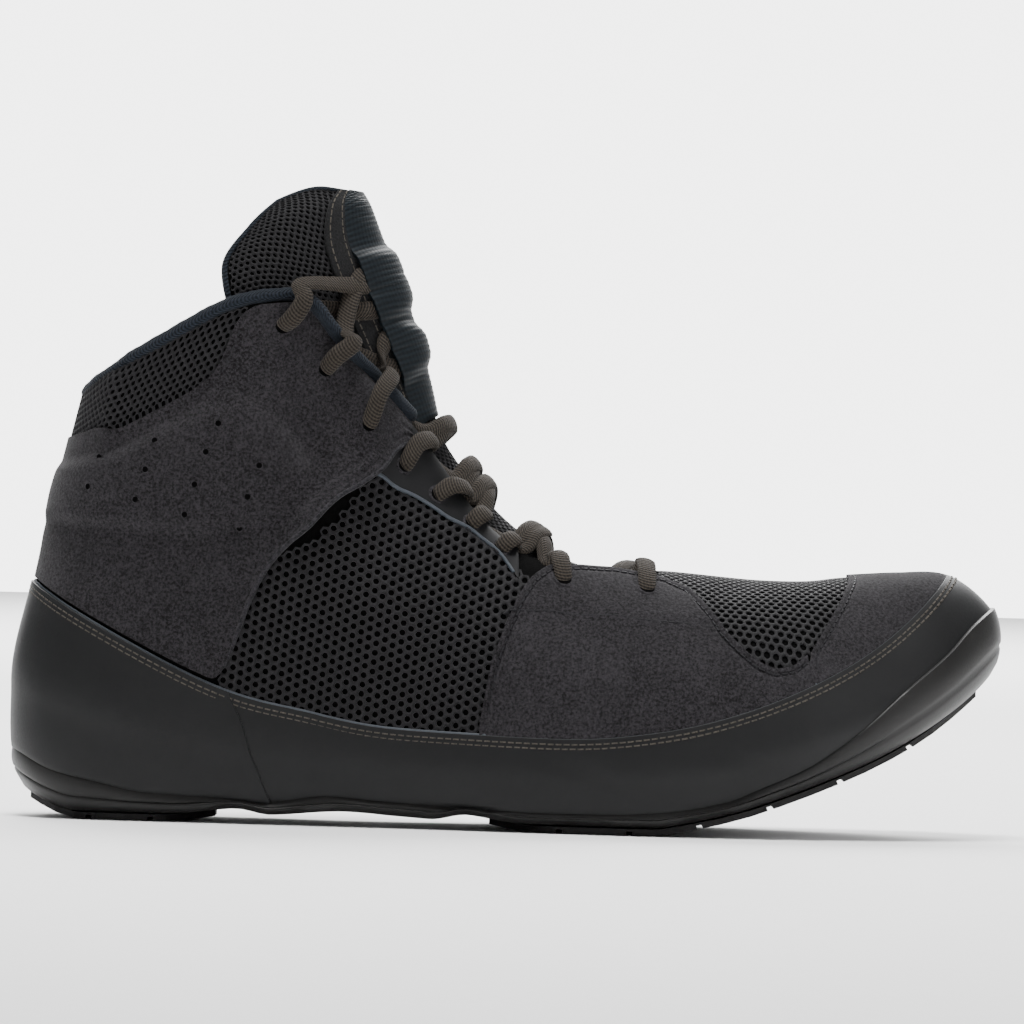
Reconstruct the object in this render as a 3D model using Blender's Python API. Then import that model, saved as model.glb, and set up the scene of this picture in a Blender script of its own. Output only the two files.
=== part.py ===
"""Right wrestling shoe: a hollow bootie on a last, with its bands, panels, tongue, laces and cup sole.

Metres, +Z up. X runs from the heel to the toe, the outer side of the foot faces -Y, and the
shoe stands on the floor at Z = 0.
"""

import math
from typing import NamedTuple

import bmesh
import bpy
import numpy as np

# Driving sizes of the last
LENGTH = 0.289
BALL_WIDTH = 0.0965
HEEL_WIDTH = 0.066
SHAFT_HEIGHT = 0.150
INSTEP_HEIGHT = 0.0755
RAND_HEIGHT = 0.068
TOE_SPRING = 0.0505
TONGUE_RISE = 0.034
FEATHER_TUCK = 0.005
HEEL_TO_ORIGIN = 0.034

# Walls and clearances
CLEAR = 0.0003
SEAT_CLEAR = 0.00045
UPPER_WALL = 0.0018
RAND_WALL = 0.0012
PANEL_WALL = 0.0011
PAD_RISE = 0.0018
TONGUE_WALL = 0.0035
RIBBON_WALL = 0.0009
INSOLE_WALL = 0.003
RIM_WALL = 0.0019
BUMPER_WALL = 0.0026
TREAD_WALL = 0.0018
BINDING_RADIUS = 0.0019

# Tread pods under the heel and the forefoot
POD_INSET = 0.0030
POD_CORNER = 0.016
HEEL_POD = (0.022, 0.208)
FORE_POD = (0.482, 0.968)
POD_MARGIN = 0.020
GROOVE_WIDTH = 0.0018
GROOVE_DEPTH = 0.0011

# Panels on the upper
PANEL_SEAT = 0.00035
SIDE_SEAT = 0.0007
BINDING_LIFT = 0.0030

# Flat laces
LACE_WIDTH = 0.0044
LACE_THICK = 0.0024
LACE_LIFT = 0.0005
CREST_LIFT = 0.0014
LIP_LIFT = 0.0036
LACE_CLIMB = 0.3
BAR_CLIMB = 0.75
ROLL_STEP = 0.3
THROAT_LEAN = 0.5


class Section(NamedTuple):
    """One rib of the last: its tuck under the foot, and along, up and out at each level."""

    tuck: float
    wall: tuple
    rand: tuple
    mid: tuple
    top: tuple


# Along is a share of LENGTH, out of half HEEL_WIDTH, up of SHAFT_HEIGHT, or of RAND_HEIGHT at the rand
HIND_SECTIONS = (
    Section(1.30, (0.006, 0.253, 0.000), (0.024, 1.000, 0.000), (0.045, 0.647, 0.000), (0.065, 0.810, 0.000)),
    Section(1.20, (0.036, 0.227, 0.667), (0.054, 0.912, 0.621), (0.073, 0.633, 0.591), (0.090, 0.847, 0.667)),
    Section(1.00, (0.118, 0.173, 0.918), (0.125, 0.743, 0.888), (0.138, 0.607, 0.879), (0.152, 0.917, 0.985)),
    Section(1.00, (0.215, 0.133, 0.945), (0.215, 0.566, 0.939), (0.215, 0.587, 0.985), (0.215, 0.983, 1.061)),
    Section(1.00, (0.284, 0.123, 0.921), (0.284, 0.493, 0.915), (0.277, 0.573, 0.988), (0.263, 1.002, 1.018)),
    Section(1.00, (0.325, 0.120, 0.909), (0.325, 0.456, 0.903), (0.318, 0.560, 0.958), (0.292, 0.990, 0.939)),
    Section(1.00, (0.367, 0.113, 0.915), (0.367, 0.426, 0.909), (0.360, 0.520, 0.894), (0.329, 0.897, 0.818)),
    Section(1.00, (0.412, 0.107, 0.939), (0.412, 0.412, 0.927), (0.408, 0.473, 0.818), (0.393, 0.767, 0.561)),
)
# Along is a share of LENGTH, out of half BALL_WIDTH, up of INSTEP_HEIGHT, or of RAND_HEIGHT at the rand
FORE_SECTIONS = (
    Section(1.00, (0.464, 0.205, 0.725), (0.464, 0.404, 0.714), (0.464, 0.821, 0.584), (0.457, 1.205, 0.303)),
    Section(1.00, (0.522, 0.199, 0.801), (0.522, 0.397, 0.786), (0.521, 0.742, 0.628), (0.516, 1.040, 0.292)),
    Section(1.00, (0.581, 0.192, 0.896), (0.581, 0.400, 0.881), (0.580, 0.702, 0.714), (0.578, 0.997, 0.270)),
    Section(1.00, (0.637, 0.199, 0.965), (0.637, 0.426, 0.941), (0.635, 0.709, 0.757), (0.631, 0.988, 0.206)),
    Section(1.10, (0.692, 0.225, 1.000), (0.690, 0.471, 0.965), (0.682, 0.742, 0.747), (0.659, 0.987, 0.000)),
    Section(1.20, (0.761, 0.278, 0.982), (0.754, 0.559, 0.931), (0.737, 0.795, 0.671), (0.709, 0.972, 0.000)),
    Section(1.40, (0.830, 0.397, 0.891), (0.820, 0.691, 0.822), (0.792, 0.854, 0.552), (0.754, 0.962, 0.000)),
    Section(1.70, (0.900, 0.543, 0.735), (0.875, 0.846, 0.617), (0.837, 0.914, 0.411), (0.796, 0.964, 0.000)),
    Section(2.00, (0.957, 0.675, 0.470), (0.915, 1.010, 0.380), (0.870, 0.972, 0.216), (0.822, 0.977, 0.000)),
    Section(2.40, (0.991, 0.755, 0.000), (0.933, 1.103, 0.000), (0.886, 0.996, 0.000), (0.844, 0.985, 0.000)),
)
# Rows of the upper: shares of the way up the sole's rim, then up the rand, then levels over the rand
CUP_ROWS = (0.0, 0.4)
RAND_ROWS = (0.0, 0.5, 1.0)
ABOVE_ROWS = (0.45, 0.9, 1.25, 1.6, 2.0)
HALF_TURN = len(HIND_SECTIONS) + len(FORE_SECTIONS) - 1
THROAT_TOP = 7.0
THROAT_END = 12.0
RAND_LEVEL = 2.0
TOP_LEVEL = 4.0


class Height(NamedTuple):
    """A height over the floor at a place along the shoe, both as shares."""

    along: float
    up: float


class Shift(NamedTuple):
    """Sideways swing of the centre line at a place along the shoe, both as shares."""

    along: float
    side: float


# Up is a share of TOE_SPRING
UNDERSIDE = (
    Height(0.000, 0.188), Height(0.016, 0.119), Height(0.042, 0.044), Height(0.069, 0.000),
    Height(0.166, 0.000), Height(0.221, 0.032), Height(0.277, 0.057), Height(0.339, 0.083),
    Height(0.388, 0.067), Height(0.460, 0.040), Height(0.519, 0.000), Height(0.644, 0.000),
    Height(0.678, 0.032), Height(0.727, 0.099), Height(0.772, 0.188), Height(0.820, 0.297),
    Height(0.869, 0.426), Height(0.917, 0.588), Height(0.962, 0.782), Height(1.000, 1.000),
)
RIM_TOP = (
    Height(0.000, 0.416), Height(0.011, 0.396), Height(0.050, 0.287), Height(0.090, 0.236),
    Height(0.138, 0.188), Height(0.221, 0.168), Height(0.263, 0.147), Height(0.322, 0.184),
    Height(0.381, 0.164), Height(0.464, 0.143), Height(0.533, 0.127), Height(0.592, 0.129),
    Height(0.644, 0.143), Height(0.713, 0.214), Height(0.751, 0.305), Height(0.792, 0.414),
    Height(0.841, 0.606), Height(0.889, 0.844), Height(0.931, 1.050), Height(0.958, 1.218),
    Height(0.979, 1.307), Height(1.000, 1.347),
)
# Up is in metres: the sole's thickness from the tread to the foot bed
PLATE = (
    Height(0.000, 0.0070), Height(0.173, 0.0065), Height(0.277, 0.0032), Height(0.388, 0.0030),
    Height(0.484, 0.0040), Height(0.692, 0.0042), Height(1.000, 0.0042),
)
# Side is a share of BALL_WIDTH, towards the inner side of the foot
SWING = (
    Shift(0.000, 0.000), Shift(0.104, 0.000), Shift(0.190, -0.008), Shift(0.294, -0.041),
    Shift(0.398, -0.067), Shift(0.502, -0.067), Shift(0.606, -0.036), Shift(0.692, -0.010),
    Shift(0.779, 0.013), Shift(0.865, 0.051), Shift(0.934, 0.082), Shift(1.000, 0.103),
)
SWING_FADES_FROM = 0.40
SWING_FADES_TO = 0.75


class TongueRow(NamedTuple):
    """One hoop of the tongue, from the crest at the front to the tip of each wing, as shares."""

    crest_along: float
    crest_up: float
    tip_along: float
    tip_up: float
    tip_out: float


class Edge(NamedTuple):
    """A point of a panel's edge: station from the heel on either side, and level up the last."""

    station: float
    level: float


class Eyelet(NamedTuple):
    """A lace hole: station and level on the last, and the tongue's hoop that its lace crosses at."""

    station: float
    level: float
    hoop: float


# Lower and front edge of the ankle wrap, from the heel to the foot of the collar's front edge
WRAP_LOW = (
    Edge(0.00, 2.03), Edge(3.05, 2.03), Edge(3.17, 2.25), Edge(3.28, 2.42), Edge(3.45, 2.60),
    Edge(3.60, 2.70), Edge(4.15, 2.92), Edge(5.50, 3.25), Edge(6.50, 3.56), Edge(6.98, 3.82),
)
# Upper edge of the ankle wrap, under the collar's mesh inset and then along the collar
WRAP_HIGH = (
    Edge(0.00, 3.39), Edge(1.18, 3.46), Edge(1.93, 3.58), Edge(2.48, 3.65), Edge(2.80, 3.72),
    Edge(2.95, 3.84), Edge(3.08, 3.94), Edge(3.40, 3.96), Edge(6.98, 3.96),
)
# Edges of the raised ankle pad
PAD_LOW = (Edge(0.00, 2.63), Edge(3.07, 2.69), Edge(3.60, 2.79), Edge(4.15, 2.98), Edge(4.86, 3.22))
PAD_HIGH = (
    Edge(0.00, 3.17), Edge(1.07, 3.26), Edge(1.82, 3.44), Edge(2.49, 3.55), Edge(3.09, 3.60),
    Edge(3.47, 3.56), Edge(4.24, 3.38), Edge(4.86, 3.22),
)
PAD_BEVEL = 0.15
# Upper edge of the forefoot side panels, from the waist seam over the throat to the toe
SIDE_HIGH = (
    Edge(8.10, 2.12), Edge(8.18, 2.36), Edge(8.42, 2.83), Edge(8.60, 3.25), Edge(8.89, 3.60),
    Edge(9.24, 3.84), Edge(9.81, 3.93), Edge(10.40, 3.94), Edge(11.16, 3.76), Edge(12.10, 3.34),
    Edge(12.40, 2.98), Edge(12.76, 2.63), Edge(13.25, 2.34), Edge(13.50, 2.14),
)
# Rear edge of the toe cap, from the rand up to the ridge
CAP_HIGH = (
    Edge(13.62, 2.10), Edge(13.79, 2.49), Edge(14.19, 2.77), Edge(15.07, 3.24), Edge(16.20, 3.72),
    Edge(16.60, 4.00), Edge(17.00, 4.00),
)
PANEL_FOOT = 2.03
RAND_EDGE = 1.985
EYELETS = (
    Eyelet(3.99, 3.88, 7.60), Eyelet(5.28, 3.76, 6.70), Eyelet(6.25, 3.65, 5.80),
    Eyelet(6.82, 3.55, 4.95), Eyelet(7.37, 3.60, 4.20), Eyelet(7.94, 3.72, 3.60),
    Eyelet(8.47, 3.75, 3.10), Eyelet(9.53, 3.67, 2.20), Eyelet(11.00, 3.60, 1.30),
)
RIBBON_START = 5.3
RIBBON_LEAN = 0.42


def monotone(table, at):
    """Reads a two-column table at the shares given, smoothly and with no overshoot.

    Args:
        table: rows of (along, value), rising in along.
        at: array of shares along.

    Returns:
        Array of values.
    """
    along, value = np.array(table, dtype=float).T
    step = np.diff(along)
    rise = np.diff(value) / step
    slope = np.zeros_like(value)
    same = rise[:-1] * rise[1:] > 0
    near, far = 2 * step[1:] + step[:-1], step[1:] + 2 * step[:-1]
    with np.errstate(divide="ignore", invalid="ignore"):
        mean = (near + far) / (near / rise[:-1] + far / rise[1:])
    slope[1:-1] = np.where(same, mean, 0.0)
    slope[0], slope[-1] = rise[0], rise[-1]
    at = np.clip(np.asarray(at, dtype=float), along[0], along[-1])
    row = np.clip(np.searchsorted(along, at, side="right") - 1, 0, len(step) - 1)
    part = (at - along[row]) / step[row]
    return hermite(value[row], value[row + 1], slope[row] * step[row], slope[row + 1] * step[row], part)


def hermite(first, last, leaving, arriving, part):
    """Cubic between two values with the slopes given at its ends."""
    square, cube = part**2, part**3
    return (
        first * (2 * cube - 3 * square + 1)
        + leaving * (cube - 2 * square + part)
        + last * (3 * square - 2 * cube)
        + arriving * (cube - square)
    )


def smooth(low, high, at):
    """A soft step from 0 at low to 1 at high."""
    part = np.clip((np.asarray(at, dtype=float) - low) / (high - low), 0.0, 1.0)
    return part * part * (3 - 2 * part)


def under_height(x):
    """Height of the tread's underside."""
    return monotone(UNDERSIDE, x / LENGTH) * TOE_SPRING


def rim_height(x):
    """Height of the top edge of the sole's rim."""
    return monotone(RIM_TOP, x / LENGTH) * TOE_SPRING


def bed_height(x):
    """Height at which the upper's lower edge and the insole lie."""
    return under_height(x) + monotone(PLATE, x / LENGTH)


def swing(x, z):
    """Sideways shift of the centre line, fading up the shaft."""
    fade = 1 - smooth(SWING_FADES_FROM * SHAFT_HEIGHT, SWING_FADES_TO * SHAFT_HEIGHT, z)
    return monotone(SWING, x / LENGTH) * BALL_WIDTH * fade


class Last:
    """The form of the foot as one surface over station (round the foot) and level (up it).

    Station 0 is the back of the heel, HALF_TURN the tip of the toe, and the outer side lies
    between them. Level 0 is the lower edge, 1 the wall, 2 the rand, 3 the middle, 4 the top line.
    """

    def __init__(self):
        rings = self.level_rows()
        self.turn = rings.shape[1]
        self.rings = rings
        self.slopes = self.ring_slopes(rings)

    def level_rows(self):
        """Gives the rows of each level round the whole foot, as (x, signed out, z)."""
        outer = []
        for index, section in enumerate(HIND_SECTIONS + FORE_SECTIONS):
            hind = index < len(HIND_SECTIONS)
            width = (HEEL_WIDTH if hind else BALL_WIDTH) / 2
            height = SHAFT_HEIGHT if hind else INSTEP_HEIGHT
            rows = []
            for place, (along, up, out) in enumerate(section[1:]):
                rows.append((along * LENGTH, -out * width, up * (RAND_HEIGHT if place == 1 else height)))
            outer.append(rows)
        outer = np.array(outer)
        inner = outer[-2:0:-1] * (1, -1, 1)
        rows = np.concatenate([outer, inner]).transpose(1, 0, 2)
        tucks = [section.tuck * FEATHER_TUCK for section in HIND_SECTIONS + FORE_SECTIONS]
        tucks = np.array(tucks + tucks[-2:0:-1])
        wall = rows[0]
        run = np.roll(wall, -1, axis=0) - np.roll(wall, 1, axis=0)
        normal = np.stack([run[:, 1], -run[:, 0]], axis=1)
        normal /= np.linalg.norm(normal, axis=1)[:, None]
        feather = wall.copy()
        feather[:, :2] -= normal * tucks[:, None]
        feather[:, 2] = bed_height(feather[:, 0])
        return np.concatenate([feather[None], rows])

    def ring_slopes(self, rings):
        """Slopes of the closed cubic spline through each ring's rows."""
        count = rings.shape[1]
        matrix = np.eye(count) * 4 + np.roll(np.eye(count), 1, axis=1) + np.roll(np.eye(count), -1, axis=1)
        right = 3 * (np.roll(rings, -1, axis=1) - np.roll(rings, 1, axis=1))
        return np.stack([np.linalg.solve(matrix, level) for level in right])

    def level_points(self, station):
        """Points of the five levels at each station, shaped (level, station, xyz)."""
        station = np.mod(np.asarray(station, dtype=float), self.turn)
        row = np.floor(station).astype(int) % self.turn
        after = (row + 1) % self.turn
        part = (station - np.floor(station))[None, :, None]
        found = hermite(
            self.rings[:, row], self.rings[:, after], self.slopes[:, row], self.slopes[:, after], part
        )
        ridge = np.abs(station - HALF_TURN) <= HALF_TURN - THROAT_END + 1e-9
        found[4, ridge, 1] = 0.0
        found[0, :, 2] = bed_height(found[0, :, 0])
        return found

    def point(self, station, level):
        """Points on the outside of the upper.

        Args:
            station: array of stations.
            level: array of levels, as long as the stations.

        Returns:
            Array of points, shaped (count, 3).
        """
        station, level = np.broadcast_arrays(np.asarray(station, float), np.asarray(level, float))
        knots = self.level_points(station)
        below = knots[0] + (knots[0] - knots[1]) * (0.9, 0.9, 0.0)
        open_top = smooth(0.15 * BALL_WIDTH, 0.35 * BALL_WIDTH, np.abs(knots[4, :, 1]))[:, None]
        mirrored = knots[3] * (1, -1, 1)
        beyond = 2 * knots[4] - knots[3]
        knots = np.concatenate([below[None], knots, (mirrored + (beyond - mirrored) * open_top)[None]])
        gaps = np.linalg.norm(np.diff(knots, axis=0), axis=2)[:, :, None]
        chord = np.diff(knots, axis=0) / gaps
        tangent = (chord[:-1] * gaps[1:] + chord[1:] * gaps[:-1]) / (gaps[1:] + gaps[:-1])
        row = np.clip(np.floor(level).astype(int), 0, 3)
        part = (level - row)[:, None]
        pick = np.arange(len(station))
        length = gaps[row + 1, pick]
        found = hermite(
            knots[row + 1, pick],
            knots[row + 2, pick],
            tangent[row, pick] * length,
            tangent[row + 1, pick] * length,
            part,
        )
        found[:, 1] += swing(found[:, 0], found[:, 2])
        return found

    def normal(self, station, level):
        """Unit normals of the surface, pointing out of the foot."""
        station, level = np.broadcast_arrays(np.asarray(station, float), np.asarray(level, float))
        small = 0.02
        low, high = np.clip(level - small, 0, TOP_LEVEL), np.clip(level + small, 0, TOP_LEVEL)
        run = self.point(station + small, level) - self.point(station - small, level)
        rise = self.point(station, high) - self.point(station, low)
        ridge = (level >= TOP_LEVEL) & (np.abs(np.mod(station, self.turn) - HALF_TURN) < HALF_TURN - THROAT_END)
        rise[ridge] = rise[ridge] * (0, 1, 0)
        found = np.cross(run, rise)
        return found / np.linalg.norm(found, axis=1)[:, None]

    def at(self, station, level, out):
        """Points that lie out from the upper's outside, or inside it where out is negative."""
        return self.point(station, level) + self.normal(station, level) * np.asarray(out)[..., None]

    def level_at_height(self, station, height):
        """Level at which each station's rib reaches the height given by a function of x."""
        low = np.zeros(len(station))
        high = np.full(len(station), RAND_LEVEL)
        for _ in range(24):
            middle = (low + high) / 2
            found = self.point(station, middle)
            over = found[:, 2] > height(found[:, 0])
            high = np.where(over, middle, high)
            low = np.where(over, low, middle)
        return (low + high) / 2


LAST = Last()


def stations_between(first, last):
    """Stations of the ribs and halfway between them, from first to last."""
    found = [half / 2 for half in range(2 * math.floor(first), 2 * math.ceil(last))]
    found = [station for station in found if first < station < last]
    return np.array([first] + found + [last])


def mesh_object(name, points, faces, material):
    """Makes an object from points and faces, welding the points that coincide."""
    mesh = bpy.data.meshes.new(name)
    placed = np.asarray(points) - (HEEL_TO_ORIGIN, 0.0, 0.0)
    mesh.from_pydata([tuple(point) for point in placed], [], faces)
    mesh.update()
    found = bpy.data.objects.new(name, mesh)
    found.data.materials.append(material)
    COLLECTION.objects.link(found)
    for polygon in mesh.polygons:
        polygon.use_smooth = True
    mesh.set_sharp_from_angle(angle=math.radians(40))
    return found


def weld(points, faces, within=1e-6):
    """Makes coinciding points one and drops the faces that collapse."""
    keys = {}
    index = []
    kept = []
    for place, point in enumerate(points):
        key = tuple(np.round(point / within).astype(np.int64))
        if key not in keys:
            keys[key] = len(kept)
            kept.append(place)
        index.append(keys[key])
    found = []
    for face in faces:
        corners = []
        for corner in face:
            new = index[corner]
            if not corners or (new != corners[-1] and new != corners[0]):
                corners.append(new)
        if len(corners) > 2:
            found.append(tuple(corners))
    return kept, found


def grid_faces(columns, rows, closed, falling=False):
    """Triangles of a grid of points whose columns run round and whose rows run up.

    Args:
        columns: number of columns.
        rows: number of rows.
        closed: whether the last column joins the first.
        falling: whether the diagonals fall from each column to the next, or else rise.

    Returns:
        List of faces.
    """
    found = []
    for column in range(columns if closed else columns - 1):
        after = (column + 1) % columns
        for row in range(rows - 1):
            here, there = column * rows + row, after * rows + row
            if falling:
                found += [(here, there, here + 1), (there, there + 1, here + 1)]
            else:
                found += [(here, there, there + 1), (here, there + 1, here + 1)]
    return found


def shell(name, outer, inner, closed, material):
    """Makes one solid between two skins, each an array of points shaped (columns, rows, xyz)."""
    columns, rows = outer.shape[:2]
    outside = outer.reshape(-1, 3)
    inside = inner.reshape(-1, 3)
    kept, faces = weld(outside, grid_faces(columns, rows, closed))
    outside, inside = outside[kept], inside[kept]
    sides = {}
    for face in faces:
        for first, second in zip(face, face[1:] + face[:1]):
            sides[(first, second)] = True
    count = len(outside)
    solid = list(faces)
    solid += [tuple(corner + count for corner in reversed(face)) for face in faces]
    for first, second in sides:
        if (second, first) not in sides:
            solid += [(second, first, first + count), (second, first + count, second + count)]
    return mesh_object(name, np.concatenate([outside, inside]), solid, material)


def loft(name, loops, material):
    """Makes a closed solid from loops that start and end on a welded centre line."""
    points = np.stack(loops, axis=1)
    columns, rows = points.shape[:2]
    flat = points.reshape(-1, 3)
    kept, faces = weld(flat, grid_faces(columns, rows, closed=True, falling=True))
    return mesh_object(name, flat[kept], faces, material)


def material(name, colour, roughness, metallic=0.0):
    """A Principled material."""
    made = bpy.data.materials.new(name)
    made.use_nodes = True
    shader = made.node_tree.nodes["Principled BSDF"]
    shader.inputs["Base Color"].default_value = (*colour, 1.0)
    shader.inputs["Roughness"].default_value = roughness
    shader.inputs["Metallic"].default_value = metallic
    made.diffuse_color = (*colour, 1.0)
    return made


def rib_levels(stations):
    """Levels of the upper's rows at each station, with rows on the sole's rim and the rand's edge."""
    rim = LAST.level_at_height(stations, rim_height)[:, None]
    cup = rim * np.array(CUP_ROWS)
    band = rim + (RAND_LEVEL - rim) * np.array(RAND_ROWS)
    above = np.broadcast_to(RAND_LEVEL + np.array(ABOVE_ROWS), (len(stations), len(ABOVE_ROWS)))
    return np.concatenate([cup, band, above], axis=1)


def build_upper():
    """The hollow bootie: open at the collar and throat, and underneath."""
    stations = stations_between(0.0, float(LAST.turn))[:-1]
    levels = rib_levels(stations)
    station = np.repeat(stations, levels.shape[1])
    level = levels.ravel()
    shape = (*levels.shape, 3)
    outer = LAST.point(station, level).reshape(shape)
    inner = LAST.at(station, level, np.full(len(station), -UPPER_WALL)).reshape(shape)
    return shell("upper", outer, inner, True, material("mesh_cloth", (0.02, 0.019, 0.02), 0.9))


def spine(points, share, height, ends=(0.10, 0.10)):
    """A loop drawn in towards the centre line of the foot.

    Args:
        points: the loop's outer points.
        share: 1 at the outer loop, 0 on the centre line.
        height: function of x that gives the loop's height.
        ends: how far the centre line stops short of the heel and toe, as shares of LENGTH.

    Returns:
        Array of points.
    """
    x, y = points[:, 0], points[:, 1]
    facing = (-np.arange(len(x))) % len(x)
    low, high = x.min(), x.max()
    part = ((x + x[facing]) / 2 - low) / (high - low)
    centre = low + ends[0] * LENGTH + part * (high - low - (ends[0] + ends[1]) * LENGTH)
    along = centre + (x - centre) * share
    middle = swing(centre, np.zeros_like(centre))
    across = middle + (y - middle) * share
    return np.stack([along, across, height(along)], axis=1)


def pod_share(x):
    """1 where a tread pod lies under the sole, 0 at the waist."""
    heel = 1 - smooth(HEEL_POD[1] + POD_MARGIN, HEEL_POD[1] + 3 * POD_MARGIN, x / LENGTH)
    fore = smooth(FORE_POD[0] - 3 * POD_MARGIN, FORE_POD[0] - POD_MARGIN, x / LENGTH)
    return heel + fore


def cup_under(x):
    """Height of the underside of the cup sole."""
    return under_height(x) + (TREAD_WALL + 2 * CLEAR) * pod_share(x)


def inset_wall(stations, inset):
    """Plan outline of the foot's wall, drawn in by inset."""
    wall = LAST.point(stations, 1.0)
    out = LAST.normal(stations, 1.0) * (1, 1, 0)
    out /= np.linalg.norm(out, axis=1)[:, None]
    return wall - out * inset


def build_outsole():
    """The cup sole: underside, side wall, rim round the upper, and foot bed."""
    stations = stations_between(0.0, float(LAST.turn))[:-1]
    rim = LAST.level_at_height(stations, rim_height)
    x = LAST.point(stations, rim)[:, 0]
    thick = RIM_WALL + (BUMPER_WALL - RIM_WALL) * smooth(0.80 * LENGTH, 0.95 * LENGTH, x)
    edge = inset_wall(stations, 0.0022)
    edge[:, 2] = cup_under(edge[:, 0])
    corner = inset_wall(stations, 0.0004)
    corner[:, 2] = cup_under(corner[:, 0]) + 0.0016
    clear = np.full(len(stations), SEAT_CLEAR)
    top = LAST.at(stations, rim, thick)
    rise = top[:, 2] - corner[:, 2]
    middle = corner + (top - corner) * 0.55
    bulge = LAST.normal(stations, rim * 0.8) * (1, 1, 0.2)
    middle += bulge * (0.10 * rise)[:, None]
    shoulder = LAST.at(stations, rim - 0.02, thick)
    bed = LAST.at(stations, np.zeros(len(stations)), clear)

    def floor(along):
        return bed_height(along) - SEAT_CLEAR

    loops = [
        spine(edge, 0.0, cup_under),
        spine(edge, 0.4, cup_under),
        spine(edge, 0.8, cup_under),
        edge,
        corner,
        middle,
        shoulder,
        LAST.at(stations, rim, thick * 0.8),
        LAST.at(stations, rim, clear),
        LAST.at(stations, rim * CUP_ROWS[1], clear),
        bed,
        spine(bed, 0.9, floor),
        spine(bed, 0.5, floor),
        spine(bed, 0.0, floor),
    ]
    return loft("outsole", loops, material("sole_rubber", (0.028, 0.026, 0.026), 0.55))


def pod_half_width(x, side):
    """Distance from the centre line to the edge of the sole's underside, on one side (-1 outer, 1 inner)."""
    stations = np.linspace(0.0, HALF_TURN, 120)
    edge = inset_wall(stations if side < 0 else LAST.turn - stations, POD_INSET)
    middle = swing(edge[:, 0], np.zeros(len(edge)))
    return np.interp(x, edge[:, 0], np.abs(edge[:, 1] - middle))


def build_tread(name, first, last, grooves):
    """A tread pod that follows the underside, with cross grooves.

    Args:
        name: node name.
        first: place of the rear end, as a share of LENGTH.
        last: place of the front end, as a share of LENGTH.
        grooves: number of grooves.

    Returns:
        The tread's object.
    """
    count = max(10, round((last - first) * 44))
    along = (0.5 - 0.5 * np.cos(np.linspace(0.0, math.pi, count + 1))) * 0.5
    along += np.linspace(0.0, 0.5, count + 1)
    x = (first + (last - first) * along) * LENGTH
    z = under_height(x)
    outer = pod_half_width(x, -1)
    inner = pod_half_width(x, 1)
    nearest_end = np.minimum(x - x[0], x[-1] - x)
    end = np.sqrt(np.clip(nearest_end / POD_CORNER, 0.08, 1))
    middle = swing(x, np.zeros_like(x))
    low, high = middle - outer * end, middle + inner * end
    columns = [np.stack([x, low + (high - low) * share, z], axis=1) for share in np.linspace(0, 1, 5)]
    under = np.stack(columns, axis=1)
    over = under + (0.0, 0.0, TREAD_WALL)
    tread = shell(name, over, under, False, material(name + "_rubber", (0.018, 0.017, 0.018), 0.7))
    cut_grooves(tread, x[0], x[-1], grooves)
    return tread


def cut_grooves(tread, start, end, count):
    """Cuts shallow cross grooves into a tread pod, following the slope of the underside."""
    for number in range(count):
        x = start + (end - start) * (number + 1) / (count + 1)
        z = float(under_height(np.array([x]))[0])
        ahead = float(under_height(np.array([x + 0.002]))[0])
        bpy.ops.mesh.primitive_cube_add(size=1.0)
        cutter = bpy.context.object
        cutter.name = f"{tread.name}_groove_{number + 1}"
        cutter.dimensions = (GROOVE_WIDTH, BALL_WIDTH * 1.3, 2 * GROOVE_DEPTH)
        cutter.location = (x - HEEL_TO_ORIGIN, 0.0, z)
        cutter.rotation_euler = (0.0, -math.atan2(ahead - z, 0.002), 0.0)
        cutter.hide_render = True
        cutter.display_type = "WIRE"
        for collection in list(cutter.users_collection):
            collection.objects.unlink(cutter)
        CUTTERS.objects.link(cutter)
        cut = tread.modifiers.new(f"groove_{number + 1}", "BOOLEAN")
        cut.operation = "DIFFERENCE"
        cut.object = cutter


def build_insole():
    """The foam insole on the foot bed."""
    stations = stations_between(0.0, float(LAST.turn))[:-1:2]
    outline = LAST.point(stations, 0.0)
    out = LAST.normal(stations, 0.35) * (1, 1, 0)
    out /= np.linalg.norm(out, axis=1)[:, None]
    outline = outline - out * (UPPER_WALL + 3 * CLEAR)

    def bottom(along):
        return bed_height(along) + CLEAR

    def top(along):
        return bed_height(along) + CLEAR + INSOLE_WALL

    loops = [spine(outline, share, bottom) for share in (0.0, 0.5, 1.0)]
    loops += [spine(outline, share, top) for share in (1.0, 0.5, 0.0)]
    return loft("insole", loops, material("insole_foam", (0.03, 0.03, 0.032), 0.95))


# Heights of hoops up to the vamp are shares of INSTEP_HEIGHT and widths of half BALL_WIDTH
VAMP_HOOPS = (
    TongueRow(0.692, 0.915, 0.690, 0.765, 0.420),
    TongueRow(0.630, 0.950, 0.626, 0.750, 0.450),
    TongueRow(0.561, 1.015, 0.554, 0.735, 0.440),
    TongueRow(0.500, 1.145, 0.478, 0.820, 0.370),
)
# Heights of hoops up the shaft are shares of SHAFT_HEIGHT plus TONGUE_RISE, widths of half HEEL_WIDTH
SHAFT_HOOPS = (
    TongueRow(0.453, 0.545, 0.412, 0.420, 0.570),
    TongueRow(0.421, 0.622, 0.349, 0.525, 0.640),
    TongueRow(0.409, 0.692, 0.298, 0.614, 0.715),
    TongueRow(0.395, 0.768, 0.249, 0.707, 0.820),
    TongueRow(0.377, 0.845, 0.215, 0.795, 0.940),
    TongueRow(0.357, 0.918, 0.206, 0.865, 0.900),
    TongueRow(0.343, 0.972, 0.232, 0.935, 0.780),
    TongueRow(0.336, 0.990, 0.275, 1.000, 0.500),
)

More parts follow.
